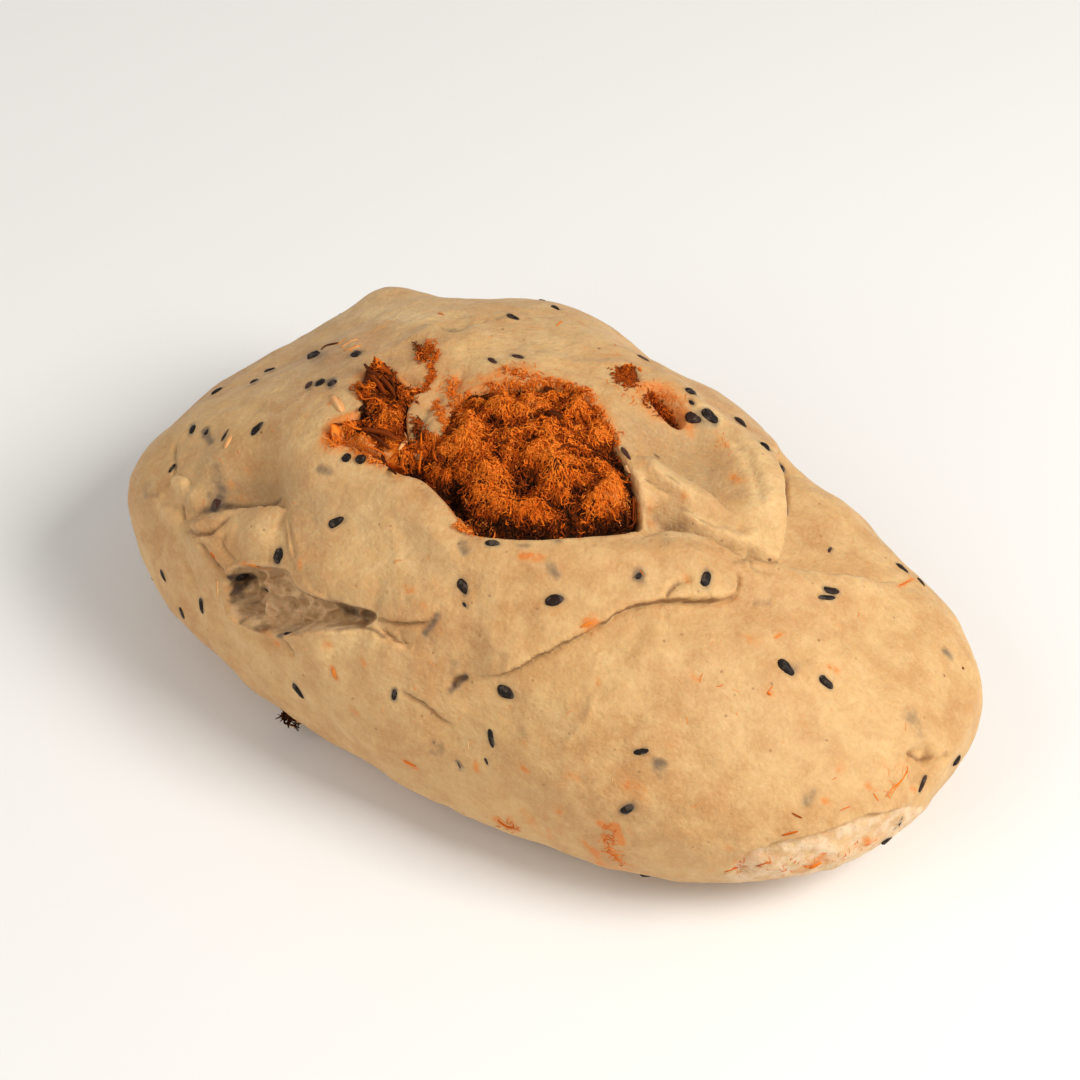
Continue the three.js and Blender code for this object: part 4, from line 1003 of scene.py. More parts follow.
seed_strokes = []
for *pixel, turn, length, width, proud, tone in SEEDS:
    half = HALO_LENGTH * length / PIXEL_STEP
    along, up = half * math.cos(math.radians(turn)), half * math.sin(math.radians(turn))
    ends = [on_loaf((pixel[0] + side * along, pixel[1] - side * up)) for side in (-1, 1)]
    seed_strokes.append((*ends, HALO_RADIUS + HALO_WIDENING * width, HALO_STRENGTH * (HALO_PROUD - proud)))
print(len(seed_strokes), "halos")

# %% Stains, shadows, crumb and flour
RIM_STAIN = (1.7, 0.55)  # width in mm and strength of the orange round the pocket
PIT_STAIN = (1.9, 0.3)
INNER_STAIN = 0.8  # strength of the orange on the walls under the floss
RIM_LEAST = 0.25  # the lower rim has this share of it, the upper and the left rim more
RIM_LEFT = 0.5
UPPER_FROM, UPPER_RUN = 1, 8  # mm across the bun
LEFT_FROM, LEFT_RUN = -16, 6  # mm along the bun
CRUMB_OUTSIDE = 0.15  # mm that the crumb's colour reaches past the tear's outline
CRUMB_FADE = 0.35

loaf_points = loaf(skin_directions)
stains = {kind: covered(loaf_points, strokes) for kind, strokes in LOAF_STROKES.items() if kind != "grey"}
stains["grey"] = covered(loaf_points, LOAF_STROKES["grey"] + seed_strokes)
upper = smooth((loaf_points[:, 1] - UPPER_FROM) / UPPER_RUN)
left = smooth((LEFT_FROM - loaf_points[:, 0]) / LEFT_RUN)
rim = RIM_STAIN[1] * bell(np.minimum(skin_hollow["pocket"], 0), RIM_STAIN[0])
rim = rim * np.clip(RIM_LEAST + upper + RIM_LEFT * left, 0, 1)
pit_rim = PIT_STAIN[1] * bell(np.minimum(skin_hollow["pit"], 0), PIT_STAIN[0])
inner = INNER_STAIN * smooth(np.maximum(skin_hollow["pocket"], skin_hollow["pit"]))
stains["orange"] = 1 - (1 - stains["orange"]) * (1 - rim) * (1 - pit_rim) * (1 - inner)
stains["crumb"] = smooth((skin_hollow["tear"] + CRUMB_OUTSIDE) / CRUMB_FADE)
stains["flour"] = floury(loaf_points, outward(skin_directions), skin_directions)
# Painted shade along the grooves of the folds and the fine lines.
stains["crease"] = skin_crease_shade
for kind, values in stains.items():
    set_numbers(dough, kind, values)
print("orange part of the skin:", round(float((stains["orange"] > 0.3).mean()), 3))

# %% [markdown]
# ## A way to write finishes
# A finish in Blender is a net of nodes. Written out node by node it is hard to read, so a
# socket is wrapped in a small class that can be added and multiplied like a number, and every
# other node is made by one method that takes its kind, its settings and its inputs.

# %% Values and finishes
class Value:
    """A socket of a finish that takes part in sums as a number does."""

    def __init__(self, finish, socket):
        self.finish = finish
        self.socket = socket

    def sum(self, operation, first, second):
        return self.finish.node("ShaderNodeMath", {"operation": operation}, {0: first, 1: second})

    def __add__(self, other):
        return self.sum("ADD", self, other)

    def __sub__(self, other):
        return self.sum("SUBTRACT", self, other)

    def __rsub__(self, other):
        return self.sum("SUBTRACT", other, self)

    def __mul__(self, other):
        return self.sum("MULTIPLY", self, other)

    __radd__ = __add__
    __rmul__ = __mul__


class Finish:
    """A material with a Principled shader and the nodes that feed it."""

    def __init__(self, name, **constants):
        self.material = bpy.data.materials.new(name)
        self.material.use_nodes = True
        self.tree = self.material.node_tree
        self.shader = self.tree.nodes["Principled BSDF"]
        for socket, value in constants.items():
            self.shader.inputs[socket.replace("_", " ")].default_value = value

    def node(self, kind, settings=None, values=None, output=0):
        """Adds a node: its settings first, then the numbers or links of its sockets."""
        made = self.tree.nodes.new(kind)
        for name, setting in (settings or {}).items():
            if name == "stops":
                for i, (place, colour) in enumerate(setting):
                    stop = made.color_ramp.elements[i] if i < 2 else made.color_ramp.elements.new(place)
                    stop.position = place
                    stop.color = (*colour, 1)
            else:
                setattr(made, name, setting)
        for socket, value in (values or {}).items():
            if isinstance(value, Value):
                self.tree.links.new(value.socket, made.inputs[socket])
            else:
                made.inputs[socket].default_value = value
        return Value(self, made.outputs[output])

    def feed(self, socket, value):
        self.tree.links.new(value.socket, self.shader.inputs[socket])

    def number(self, name):
        """The number that a piece carries on its points under this name."""
        return self.node("ShaderNodeAttribute", {"attribute_name": name}, output="Fac")

    def place(self, stretch=(1, 1, 1), turn=(0, 0, 0)):
        """Object coordinates, stretched and turned."""
        here = self.node("ShaderNodeTexCoord", output="Object")
        return self.node("ShaderNodeMapping", None, {"Vector": here, "Rotation": turn, "Scale": stretch})

    def cloud(self, where, size, detail=2.0, roughness=0.5):
        """Soft noise between 0 and 1 with blotches of about the given size in metres."""
        return self.node(
            "ShaderNodeTexNoise", {"noise_dimensions": "3D"},
            {"Vector": where, "Scale": 1 / size, "Detail": detail, "Roughness": roughness})

    def between(self, value, low, high):
        """0 below low, 1 above high and smooth in between."""
        return self.node(
            "ShaderNodeMapRange", {"interpolation_type": "SMOOTHSTEP"},
            {"Value": value, "From Min": low, "From Max": high})

    def mix(self, share, first, second, blend="MIX"):
        """Colour between two colours."""
        first, second = ((*c, 1) if isinstance(c, tuple) else c for c in (first, second))
        return self.node(
            "ShaderNodeMix", {"data_type": "RGBA", "blend_type": blend},
            {0: share, 6: first, 7: second}, output=2)

    def bump(self, height, strength, distance, under=None):
        values = {"Height": height, "Strength": strength, "Distance": distance}
        if under is not None:
            values["Normal"] = under
        return self.node("ShaderNodeBump", None, values)


print("finishes can be written as sums")

# %% [markdown]
# ## The dough's finish
# Steamed or softly baked dough is matt, a little see-through and never one colour: cloudy
# cream and tan blotches, faint streaks where it was stretched, and specks of spice. The light
# that enters it comes out again a millimetre or two away, which the shader's subsurface
# colour gives. Painted colour alone would look like card. Each line below lays one more layer
# of colour over the last, where a soft noise or a number of the mesh says so.

# %% Colours of the dough
CREAM = (0.725, 0.48, 0.215)
LIGHT_CREAM_AND_PAINTED_LIGHT = (0.83, 0.575, 0.27)
BODY = (0.645, 0.388, 0.152)
TAN = (0.53, 0.272, 0.096)
THIN_DOUGH_AND_SHADE = (0.33, 0.20, 0.092)
CREASE_SHADE_BROWN = (0.23, 0.094, 0.028)
DEEP_SHADE_BROWN = (0.04, 0.018, 0.008)
GREY_SHADOW = (0.09, 0.066, 0.05)
ORANGE_STAIN = (0.68, 0.205, 0.03)
PALE_ORANGE = (0.66, 0.29, 0.08)
CRUMB_LIGHT = (0.70, 0.465, 0.25)
CRUMB_DARK = (0.40, 0.235, 0.10)
FLOUR = (0.87, 0.67, 0.46)
SPECK = (0.22, 0.085, 0.026)
print("colours from cream", CREAM, "to brown", CREASE_SHADE_BROWN)

# %% Dough: cloudy cream and tan
soft = Finish(
    "soft_dough", Subsurface_Weight=0.35, Subsurface_Scale=0.0014, Subsurface_Radius=(1.0, 0.45, 0.2),
    Specular_IOR_Level=0.3, Sheen_Weight=0.05, Sheen_Roughness=0.6)
here = soft.place()
stretched = soft.place(stretch=(0.5, 1.2, 1.0), turn=(0.0, 0.3, 0.75))
blotches = soft.between(soft.cloud(here, 0.017, 3.0), 0.35, 0.68)
cloudy = soft.between(soft.cloud(here, 0.0042, 4.0, 0.6), 0.38, 0.66)
mottle = soft.between(soft.cloud(here, 0.0011, 3.0, 0.65), 0.35, 0.68)
streaks = soft.between(soft.cloud(stretched, 0.0036, 4.0, 0.58), 0.46, 0.68)
thin = soft.between(soft.cloud(here, 0.011, 4.0, 0.6), 0.56, 0.74)
colour = soft.mix(blotches, TAN, BODY)
colour = soft.mix(0.5 * cloudy, colour, CREAM)
colour = soft.mix(0.17 * thin, colour, THIN_DOUGH_AND_SHADE)
# Thin strokes: see-through dough, and painted shade where the dough lies in shade.
colour = soft.mix(0.72 * soft.number("thin") * (0.6 + 0.5 * cloudy), colour, THIN_DOUGH_AND_SHADE)
colour = soft.mix(0.22 * streaks, colour, CREAM)
# Cream strokes: lighter folded dough, and painted light on lit bands and rims.
colour = soft.mix(0.9 * soft.number("cream") * (0.65 + 0.4 * cloudy), colour, LIGHT_CREAM_AND_PAINTED_LIGHT)
colour = soft.mix(0.36 * mottle, colour, TAN)
colour = soft.mix(0.22 * soft.between(soft.cloud(here, 0.0006, 2.0), 0.42, 0.7), colour, CREAM)

# %% Dough: specks of spice
SPECKS = (  # cells in a metre, size in its cell, share of cells with one, tint, strength, lot drawn
    (400.0, 0.13, 0.3, SPECK, 0.5, 0),
    (170.0, 0.07, 0.4, SPECK, 0.85, 2),
    (230.0, 0.12, 0.16, PALE_ORANGE, 0.55, 1),
)
SPECK_FADE = 0.03


def specks(per_metre, size, share, channel):
    """A mask of small spots: some cells of a Voronoi pattern have one in their middle."""
    cells = {"Vector": here, "Scale": per_metre}
    near = soft.node("ShaderNodeTexVoronoi", {"feature": "F1"}, cells)
    lots = soft.node("ShaderNodeTexVoronoi", {"feature": "F1"}, cells, output="Color")
    lot = soft.node("ShaderNodeSeparateColor", None, {"Color": lots}, output=channel)
    spot = 1 - soft.between(near, 0.5 * size, size)
    return spot * soft.between(lot, 1 - share, 1 + SPECK_FADE - share)


for per_metre, size, share, tint, strength, channel in SPECKS:
    colour = soft.mix(strength * specks(per_metre, size, share, channel), colour, tint)
print(len(SPECKS), "kinds of specks")

# %% Dough: crumb, flour, painted shade in creases and holes, and stains
crumb_cloud = soft.between(soft.cloud(here, 0.0022, 4.0, 0.6), 0.36, 0.62)
colour = soft.mix(soft.number("crumb") * 0.8, colour, soft.mix(crumb_cloud, CRUMB_DARK, CRUMB_LIGHT))
flour_cloud = soft.between(soft.cloud(here, 0.0026, 4.0, 0.65), 0.36, 0.62)
colour = soft.mix(soft.number("flour") * (0.15 + 0.5 * flour_cloud), colour, FLOUR)
ragged = soft.cloud(here, 0.0009, 3.0, 0.6)
uneven = soft.cloud(here, 0.0019, 2.0, 0.5)
# Painted shade: the creases are darkened towards brown.
crease_shade_field = soft.number("crease") * (0.35 + 1.1 * uneven)
colour = soft.mix(0.8 * soft.between(crease_shade_field, 0.25, 0.85), colour, CREASE_SHADE_BROWN)
grey_field = soft.number("grey") * (0.35 + 1.2 * uneven) + 0.3 * (ragged - 0.5)
colour = soft.mix(0.78 * soft.between(grey_field, 0.12, 0.95), colour, GREY_SHADOW)
orange_field = soft.number("orange") * (0.4 + 1.1 * uneven)
colour = soft.mix(0.5 * soft.between(orange_field + 0.5 * (ragged - 0.5), 0.1, 0.55), colour, PALE_ORANGE)
colour = soft.mix(0.8 * soft.between(orange_field + 0.8 * (ragged - 0.5), 0.4, 0.78), colour, ORANGE_STAIN)
# Painted shade from the dark strokes, in holes, hollows and under edges.
dark_shade_field = soft.number("dark") * (0.5 + 1.0 * uneven)
colour = soft.mix(0.92 * soft.between(dark_shade_field, 0.15, 0.85), colour, DEEP_SHADE_BROWN)
soft.feed("Base Color", colour)
print("dough's colour:", len(soft.tree.nodes), "nodes")

# %% Dough: sheen and fine relief
pores = soft.cloud(here, 0.0007, 3.0, 0.6)
wrinkles = soft.cloud(stretched, 0.0022, 4.0, 0.6)
dimples = soft.cloud(here, 0.0034, 3.0, 0.55)
soft.feed("Roughness", 0.5 + 0.2 * soft.cloud(here, 0.004, 3.0) + 0.15 * soft.number("flour"))
relief = soft.bump(dimples, 0.7, 0.0009)
relief = soft.bump(wrinkles, 0.6, 0.0004, relief)
soft.feed("Normal", soft.bump(pores, 0.65, 0.00025, relief))
dough.data.materials.append(soft.material)
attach(dough, "root")
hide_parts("dough")
print("dough's finish:", len(soft.tree.nodes), "nodes")

# %% [markdown]
# ## Seeds
# One seed is a ball drawn out to a drop, with few faces because there are many seeds. Its
# long side is turned until it looks as it does in the picture: the wanted direction on the
# picture is slid along the line of sight until it lies in the skin.

# %% Sesame
SEED_SEGMENTS = 10
SEED_RINGS = 7
SEED_DENT = 0.42
SEED_POINT = 0.35  # how much narrower the pointed end is
SEED_SUNK = 0.58  # a seed that stands out by less than this lies in the skin
FLATTEST_VIEW = 0.3  # keeps a seed at the outline from being drawn out

dough_tree = BVHTree.FromObject(dough, bpy.context.evaluated_depsgraph_get())
seed_shapes = bmesh.new()
seed_tone = seed_shapes.verts.layers.float.new("tone")


def add_seed(place, normal, along, length, width, proud, tone):
    """A drop lying in the skin at a place, its long side along a direction."""
    made = bmesh.ops.create_uvsphere(
        seed_shapes, u_segments=SEED_SEGMENTS, v_segments=SEED_RINGS, radius=0.5)["verts"]
    across = normal.cross(along).normalized()
    thickness = SEED_THICKNESS * width
    for vertex in made:
        dent = noise.noise(vertex.co * 2.2 + place / MM)
        drop = (1 - SEED_POINT * vertex.co.z) * (1 + SEED_DENT * dent)
        vertex[seed_tone] = tone
        spot = across * (vertex.co.x * width * drop) + normal * (vertex.co.y * thickness * drop)
        vertex.co = (spot + along * (vertex.co.z * length)) * MM + place
    bmesh.ops.translate(seed_shapes, verts=made, vec=normal * ((proud - SEED_SUNK) * 1.1 * thickness * MM))


def seen_direction(pixel, turn, normal):
    """The direction in the skin that looks turned by so much in the picture."""
    wanted = camera_right * math.cos(turn) + camera_up * math.sin(turn)
    ray = sight(pixel)
    lean = ray.dot(normal)
    if abs(lean) < FLATTEST_VIEW:
        lean = math.copysign(FLATTEST_VIEW, lean)
    slid = wanted - ray * (wanted.dot(normal) / lean)
    return (slid - normal * slid.dot(normal)).normalized()


for *pixel, turn, length, width, proud, tone in SEEDS:
    hit, normal = met_by(dough_tree, pixel)[:2]
    along = seen_direction(pixel, math.radians(turn), normal)
    add_seed(hit, normal, along, length, width, proud, tone)
print("seeds that the picture shows:", len(SEEDS))

# %% Seeds on the other sides
PLACES_TRIED = 276
HIGHEST, FALL = 0.98, 1.9  # the places run down from near the top to near the underside
GOLDEN_TURN = math.pi * (3 - math.sqrt(5))
NUDGE = 0.05
VIEW_SLACK = 1.5  # mm; a place this little behind what the camera sees is seen as well
LOWEST = 1.5  # mm over the floor
FROM_HOLLOWS = 2  # mm between a seed and a hollow
SEED_SHARE = 0.5  # of the places tried


def is_seen(place):
    """Whether the camera has a free view of a place on the dough."""
    towards = place - camera_place
    hit, normal, index, distance = dough_tree.ray_cast(camera_place, towards.normalized())
    return hit is not None and distance > towards.length - VIEW_SLACK * MM


random = np.random.default_rng(5)
hidden = 0
for i in range(PLACES_TRIED):
    z = HIGHEST - FALL * (i + 0.5) / PLACES_TRIED
    bearing = i * GOLDEN_TURN
    flat = math.sqrt(1 - z * z)
    even = np.array([[flat * math.cos(bearing), flat * math.sin(bearing), z]])
    skewed = unit(even + random.normal(0, NUDGE, (1, 3)))
    place, hollow, crease = skin(skewed, uneven=False)
    hit, normal, index, distance = dough_tree.find_nearest(Vector(to_frame(place)[0]))
    turn, length, chance = random.random(3)
    in_hollow = max(inward[0] for inward in hollow.values()) > -FROM_HOLLOWS
    if is_seen(hit) or hit.z < LOWEST * MM or in_hollow or chance > SEED_SHARE:
        continue
    along = normal.orthogonal().normalized()
    along.rotate(Matrix.Rotation(2 * math.pi * turn, 3, normal))
    add_seed(hit, normal, along, 2.2 + 1.1 * length, 1.1 + 0.8 * chance, 0.2 + 0.7 * chance, 0.3 * chance)
    hidden += 1

seeds = add_object("sesame", seed_shapes)
print("seeds:", len(SEEDS), "seen and", hidden, "hidden,", len(seeds.data.polygons), "faces")

# %% [markdown]
# The hull of a black sesame seed is near black with fine pits, and some are brown where the
# hull has split. Grey patches painted into its colour stand for its soft shine.

# %% Finish of the seeds
HULL = (0.012, 0.0068, 0.0045)
HULL_BROWN = (0.06, 0.02, 0.012)
HULL_GREY_SHEEN = (0.085, 0.062, 0.045)

hull = Finish("sesame_hull", Specular_IOR_Level=0.16)
hull_place = hull.place()
hull_cloud = hull.cloud(hull_place, 0.0011, 4.0, 0.6)
hull_tone = hull.number("tone")
hull_colour = hull.mix(hull.between(hull_tone, 0.0, 0.6), HULL, HULL_BROWN)
# Painted sheen: grey patches where the hull would shine.
hull_colour = hull.mix(0.8 * hull.between(hull_cloud, 0.5, 0.62), hull_colour, HULL_GREY_SHEEN)
hull.feed("Base Color", hull_colour)
hull.feed("Roughness", 0.4 + 0.35 * hull_cloud)
hull.feed("Normal", hull.bump(hull_cloud, 0.4, 0.0002))
seeds.data.materials.append(hull.material)
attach(seeds, "root")

# %% [markdown]
# ## The cores of the floss
# Floss is a felt of curled shreds. Deep inside nothing can be told apart, so each heap has a
# core: a copy of the imported solid with its loose triangles merged, split finer and roughened,
# and painted dark as shade. The shreds that show lie on it. Clumps and gaps stand where the
# picture shows them. A smear is a stretch of floss with a tone of its own: a pale film, a dark
# leathery scrap, or painted shade along the pocket's lower rim and in its low corners.

# %% Clumps, gaps and smears
FLOSS_NODES = ("floss_filling", "floss_in_pit", "floss_lump")
CLUMPS = [  # pixel, radius and rise in mm
    (503, 412, 2.2, 1.0), (516, 434, 2.2, 1.1), (556, 436, 3.0, 1.2), (478, 458, 2.9, 1.2),
    (494, 472, 2.2, 0.8), (488, 500, 2.9, 1.1), (558, 480, 2.6, 1.1), (610, 482, 2.6, 1.1),
    (618, 503, 2.8, 1.8), (590, 500, 1.8, 0.5), (536, 517, 2.2, 0.9), (588, 410, 3.2, 0.8),
    (600, 436, 2.4, 0.5), (536, 408, 2.2, 0.8), (472, 424, 2.0, 0.6), (572, 462, 1.6, 0.6),
    (452, 505, 3.2, -1.6), (487, 443, 2.4, -1.2), (528, 474, 2.8, -0.8), (566, 508, 2.8, -1.1),
    (541, 456, 1.7, -0.9), (496, 517, 1.2, -0.8), (619, 462, 2.4, -1.3), (462, 478, 1.4, -0.8),
    (612, 530, 2.4, -0.6), (534, 424, 1.4, -0.8), (576, 442, 1.2, -0.7), (640, 500, 1.3, -1.2),
    (546, 392, 1.6, -0.6), (510, 392, 1.4, -0.5),
]

# The dark smears along the pocket's lower rim and in its lower corners are painted shade.
SMEARS = [  # start and end pixel, radius in mm, tone, share of the curls that is left there
    (460, 404, 476, 428, 1.5, 0.82, 0.5), (500, 392, 540, 392, 1.4, 0.86, 0.5),
    (528, 402, 541, 411, 1.2, 0.92, 0.3), (526, 417, 534, 427, 0.9, 0.8, 0.4),
    (544, 387, 559, 392, 1.1, 0.05, 0.3), (547, 417, 562, 422, 1.1, 0.2, 0.25),
    (570, 396, 604, 434, 1.5, 0.78, 0.6), (370, 372, 396, 396, 1.3, 0.24, 0.2),
    (364, 431, 396, 444, 1.2, 0.19, 0.25), (334, 438, 388, 456, 1.9, 0.95, 0.3),
    (360, 410, 368, 420, 0.5, 0.02, 0.1), (450, 492, 460, 514, 1.6, 0.12, 0.7),
    (616, 370, 636, 386, 2.6, 0.36, 0.3), (650, 398, 674, 420, 2.0, 0.27, 0.5),
    (604, 526, 632, 530, 1.2, 0.32, 0.8), (608, 490, 626, 510, 1.6, 0.72, 1.0),
    (544, 500, 574, 514, 1.6, 0.1, 0.7), (480, 530, 590, 533, 1.0, 0.4, 1.0),
]
BRIGHT_SMEAR_FROM = 0.5  # a tone above this
BRIGHT_SMEAR_RISE = 0.7  # mm
SMEAR_SPREAD = 1.15  # of its radius, for its tone

graph = bpy.context.evaluated_depsgraph_get()
packed_trees = [BVHTree.FromObject(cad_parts[node], graph) for node in FLOSS_NODES]


def first_met(trees, pixel):
    """The nearest point of several surfaces on a line of sight, with its normal."""
    met = [tree.ray_cast(camera_place, sight(pixel)) for tree in trees]
    met = [(distance, hit, normal) for hit, normal, index, distance in met if hit is not None]
    return min(met, key=lambda found: found[0])[1:] if met else met_by(dough_tree, pixel)[:2]


def on_floss(pixel):
    """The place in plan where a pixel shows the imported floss, in millimetres."""
    return np.array(first_met(packed_trees, pixel)[0])[:2] / MM


clump_places = [(on_floss(pixel), radius, rise) for *pixel, radius, rise in CLUMPS]
smear_places = [
    (on_floss(ends[:2]), on_floss(ends[2:]), radius, tone, left) for *ends, radius, tone, left in SMEARS]
print(len(clump_places), "clumps and gaps,", len(smear_places), "smears")

# %% Cores
CORE_WAVES = ((3.2, 1.6), (1.3, 0.7))
CORE_SUNK = 0.5  # mm that the core lies lower than the solid, to leave room for shreds
CORE_EDGES = (2.4, 1.2)  # mm, the longest edge after each round of splitting
FACING_UP = 0.35


def clump_height(plan):
    """How far the clumps and gaps raise or lower places in plan, one row each."""
    height = np.zeros(len(plan))
    for place, radius, rise in clump_places:
        height += rise * bell(np.linalg.norm(plan - place, axis=1), radius)
    for start, end, radius, tone, left in smear_places:
        rise = BRIGHT_SMEAR_RISE * (tone > BRIGHT_SMEAR_FROM)
        height += rise * bell(stroke_distance(plan, start, end), radius)
    return height


def smear_over(plan, value, choice):
    """A number for each place in plan, turned towards that of each smear which covers it."""
    result = np.full(len(plan), value, float)
    for start, end, radius, *numbers in smear_places:
        share = bell(stroke_distance(plan, start, end), SMEAR_SPREAD * radius)
        result += (numbers[choice] - result) * share
    return result


def core_of(node):
    """A finer, rougher copy of a packed heap."""
    made = bmesh.new()
    made.from_mesh(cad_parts[node].data)
    bmesh.ops.remove_doubles(made, verts=made.verts, dist=0.00001)
    for longest in CORE_EDGES:
        long_edges = [edge for edge in made.edges if edge.calc_length() > longest * MM]
        bmesh.ops.subdivide_edges(made, edges=long_edges, cuts=1)
        bmesh.ops.triangulate(made, faces=[face for face in made.faces if len(face.verts) > 3])
    made.normal_update()
    facing = [vertex for vertex in made.verts if vertex.normal.z > FACING_UP]
    heights = waves([vertex.co / MM for vertex in facing], CORE_WAVES)
    heights += clump_height(np.array([vertex.co[:2] for vertex in facing]) / MM) - CORE_SUNK
    for vertex, height in zip(facing, heights):
        vertex.co.z += height * MM
    return add_object(node + "_core", made)


cores = {node: core_of(node) for node in FLOSS_NODES}
print({name: len(core.data.polygons) for name, core in cores.items()}, "triangles")

# %% [markdown]
# ## Shreds
# A shred is a thin tube that curls. Thousands of them are needed, so all of one kind are one
# joined mesh, worked out in arrays: the middle lines first, then three corners round every
# point of them. A grid of the ground's height under the heaps lets each shred follow it.

# %% The ground under the shreds
GROUND_STEP = 0.4  # mm
GROUND_FROM = np.array([-44.0, -32.0])
GROUND_TO = np.array([30.0, 28.0])
EMPTY_ROUNDS = 10
RELIEF_REACH = 9  # cells
GROUND_ABOVE = 100.0  # mm, higher than anything on the bun


def make_ground(trees):
    """Heights of surfaces seen from above, on a grid, in millimetres in the frame."""
    across, up = (np.arange(low, high, GROUND_STEP) for low, high in zip(GROUND_FROM, GROUND_TO))
    heights = np.zeros((len(across), len(up)))
    downwards = Vector((0, 0, -1))
    for i, x in enumerate(across):
        for j, y in enumerate(up):
            start = Vector((x, y, GROUND_ABOVE)) * MM
            hits = [tree.ray_cast(start, downwards)[0] for tree in trees]
            heights[i, j] = max((hit.z for hit in hits if hit is not None), default=0) / MM
    return heights


def shifted_sum(grid, shifts):
    return sum(np.roll(grid, shift, (0, 1)) for shift in shifts)


def fill_outwards(grid):
    """Carries the heights of a grid over its empty border."""
    sides = ((1, 0), (-1, 0), (0, 1), (0, -1))
    for _ in range(EMPTY_ROUNDS):
        known = (grid > 0).astype(float)
        mean = shifted_sum(grid, sides) / np.maximum(shifted_sum(known, sides), 1)
        grid = np.where(grid > 0, grid, mean)
    return grid


def relief_of(grid):
    """How far each known height stands over the mean of those around it."""
    known = (grid > 0).astype(float)
    total = grid
    for along in ((1, 0), (0, 1)):
        shifts = [(k * along[0], k * along[1]) for k in range(-RELIEF_REACH, RELIEF_REACH + 1)]
        total, known = shifted_sum(total, shifts), shifted_sum(known, shifts)
    return np.where(grid > 0, grid - total / np.maximum(known, 1), 0)


def height_over(grid, x, y):
    """Height of a grid between its points."""
    u = np.clip((x - GROUND_FROM[0]) / GROUND_STEP, 0, grid.shape[0] - 1.001)
    v = np.clip((y - GROUND_FROM[1]) / GROUND_STEP, 0, grid.shape[1] - 1.001)
    i, j = u.astype(int), v.astype(int)
    a, b = u - i, v - j
    low = grid[i, j] * (1 - a) + grid[i + 1, j] * a
    high = grid[i, j + 1] * (1 - a) + grid[i + 1, j + 1] * a
    return low * (1 - b) + high * b


graph = bpy.context.evaluated_depsgraph_get()
core_trees = [BVHTree.FromObject(core, graph) for core in cores.values()]
core_ground = make_ground(core_trees)
ground = np.maximum(core_ground, make_ground([dough_tree]))
floss_ground = fill_outwards(core_ground)
floss_relief = relief_of(core_ground)
print("ground:", ground.shape, "relief of the floss up to", round(float(floss_relief.max()), 1), "mm")

# %% Tubes round many lines
CORNERS = 3


def tubes(name, lines, radii, tones, flatness=1.0):
    """One joined mesh of thin tubes: lines (n, m, 3) and radii (n, m) in mm, tones (n, m)."""
    count, steps = radii.shape
    along = np.gradient(lines, axis=1)
    along /= np.maximum(np.linalg.norm(along, axis=2, keepdims=True), 1e-9)
    first = np.cross(along, np.array([0.04, 0.02, 1.0]))
    first /= np.maximum(np.linalg.norm(first, axis=2, keepdims=True), 1e-9)
    second = np.cross(along, first) * flatness
    angle = np.arange(CORNERS) * 2 * math.pi / CORNERS
    round_it = np.cos(angle)[:, None] * first[:, :, None] + np.sin(angle)[:, None] * second[:, :, None]
    points = lines[:, :, None] + radii[:, :, None, None] * round_it
    start = (np.arange(count) * steps * CORNERS)[:, None, None]
    ring = (np.arange(steps - 1) * CORNERS)[None, :, None]
    corner = np.arange(CORNERS)[None, None, :]
    following = (corner + 1) % CORNERS
    walls = np.stack([
        start + ring + corner, start + ring + following,
        start + ring + CORNERS + following, start + ring + CORNERS + corner], -1).reshape(-1, 4)
    ends = np.concatenate([
        start[:, 0] + corner[0, :, ::-1], start[:, 0] + (steps - 1) * CORNERS + corner[0]])
    mesh = bpy.data.meshes.new(name)
    mesh.from_pydata((points.reshape(-1, 3) * MM).tolist(), [], walls.tolist() + ends.tolist())
    mesh.update()
    mesh.polygons.foreach_set("use_smooth", [True] * len(mesh.polygons))
    piece = bpy.data.objects.new(name, mesh)
    bpy.context.scene.collection.objects.link(piece)
    set_numbers(piece, "tone", np.repeat(np.clip(tones, 0, 1).reshape(-1), CORNERS))
    print(name + ":", count, "shreds,", 2 * len(walls) + len(ends), "triangles")
    return piece


# %% [markdown]
# ## The curls of the pocket
# The floss was fried and rubbed, so it comes as small tufts: shreds that start together, curl
# alike and have one tone. The tops of the clumps are painted a brighter orange and the gaps
# between them a darker red-brown: painted light and shade, set by how high each shred stands.

# %% Curls
SHRED_STEPS = 10
STEEPEST = 0.6  # mm that one shred climbs or falls; on a steep clump it sticks out
LIFT_SHARE = 0.9
CURL_PARTS = ((1.0, 1.0), (1.9, 0.6), (2.8, 0.35))  # waves along a shred and their share
THINNER_ENDS = 0.6
BRANCH_FROM = -21.5  # mm along the bun; left of it the shreds lie less densely
BRANCH_SHARE = 0.55
LOWEST_FLOSS = 5  # mm over the floor
random = np.random.default_rng(21)


def places_on_floss(count):
    """Random places in plan where a core shows, in millimetres in the frame."""
    found = np.zeros((0, 2))
    while len(found) < count:
        tried = random.uniform(GROUND_FROM, GROUND_TO, (4 * count, 2))
        over_core = height_over(core_ground, *tried.T)
        shows = over_core > height_over(ground, *tried.T) - 0.05
        left = smear_over(tried, 1, 1) * np.where(tried[:, 0] < BRANCH_FROM, BRANCH_SHARE, 1)
        dense = random.random(len(tried)) < left
        found = np.concatenate([found, tried[shows & (over_core > LOWEST_FLOSS) & dense]])
    return found[:count]


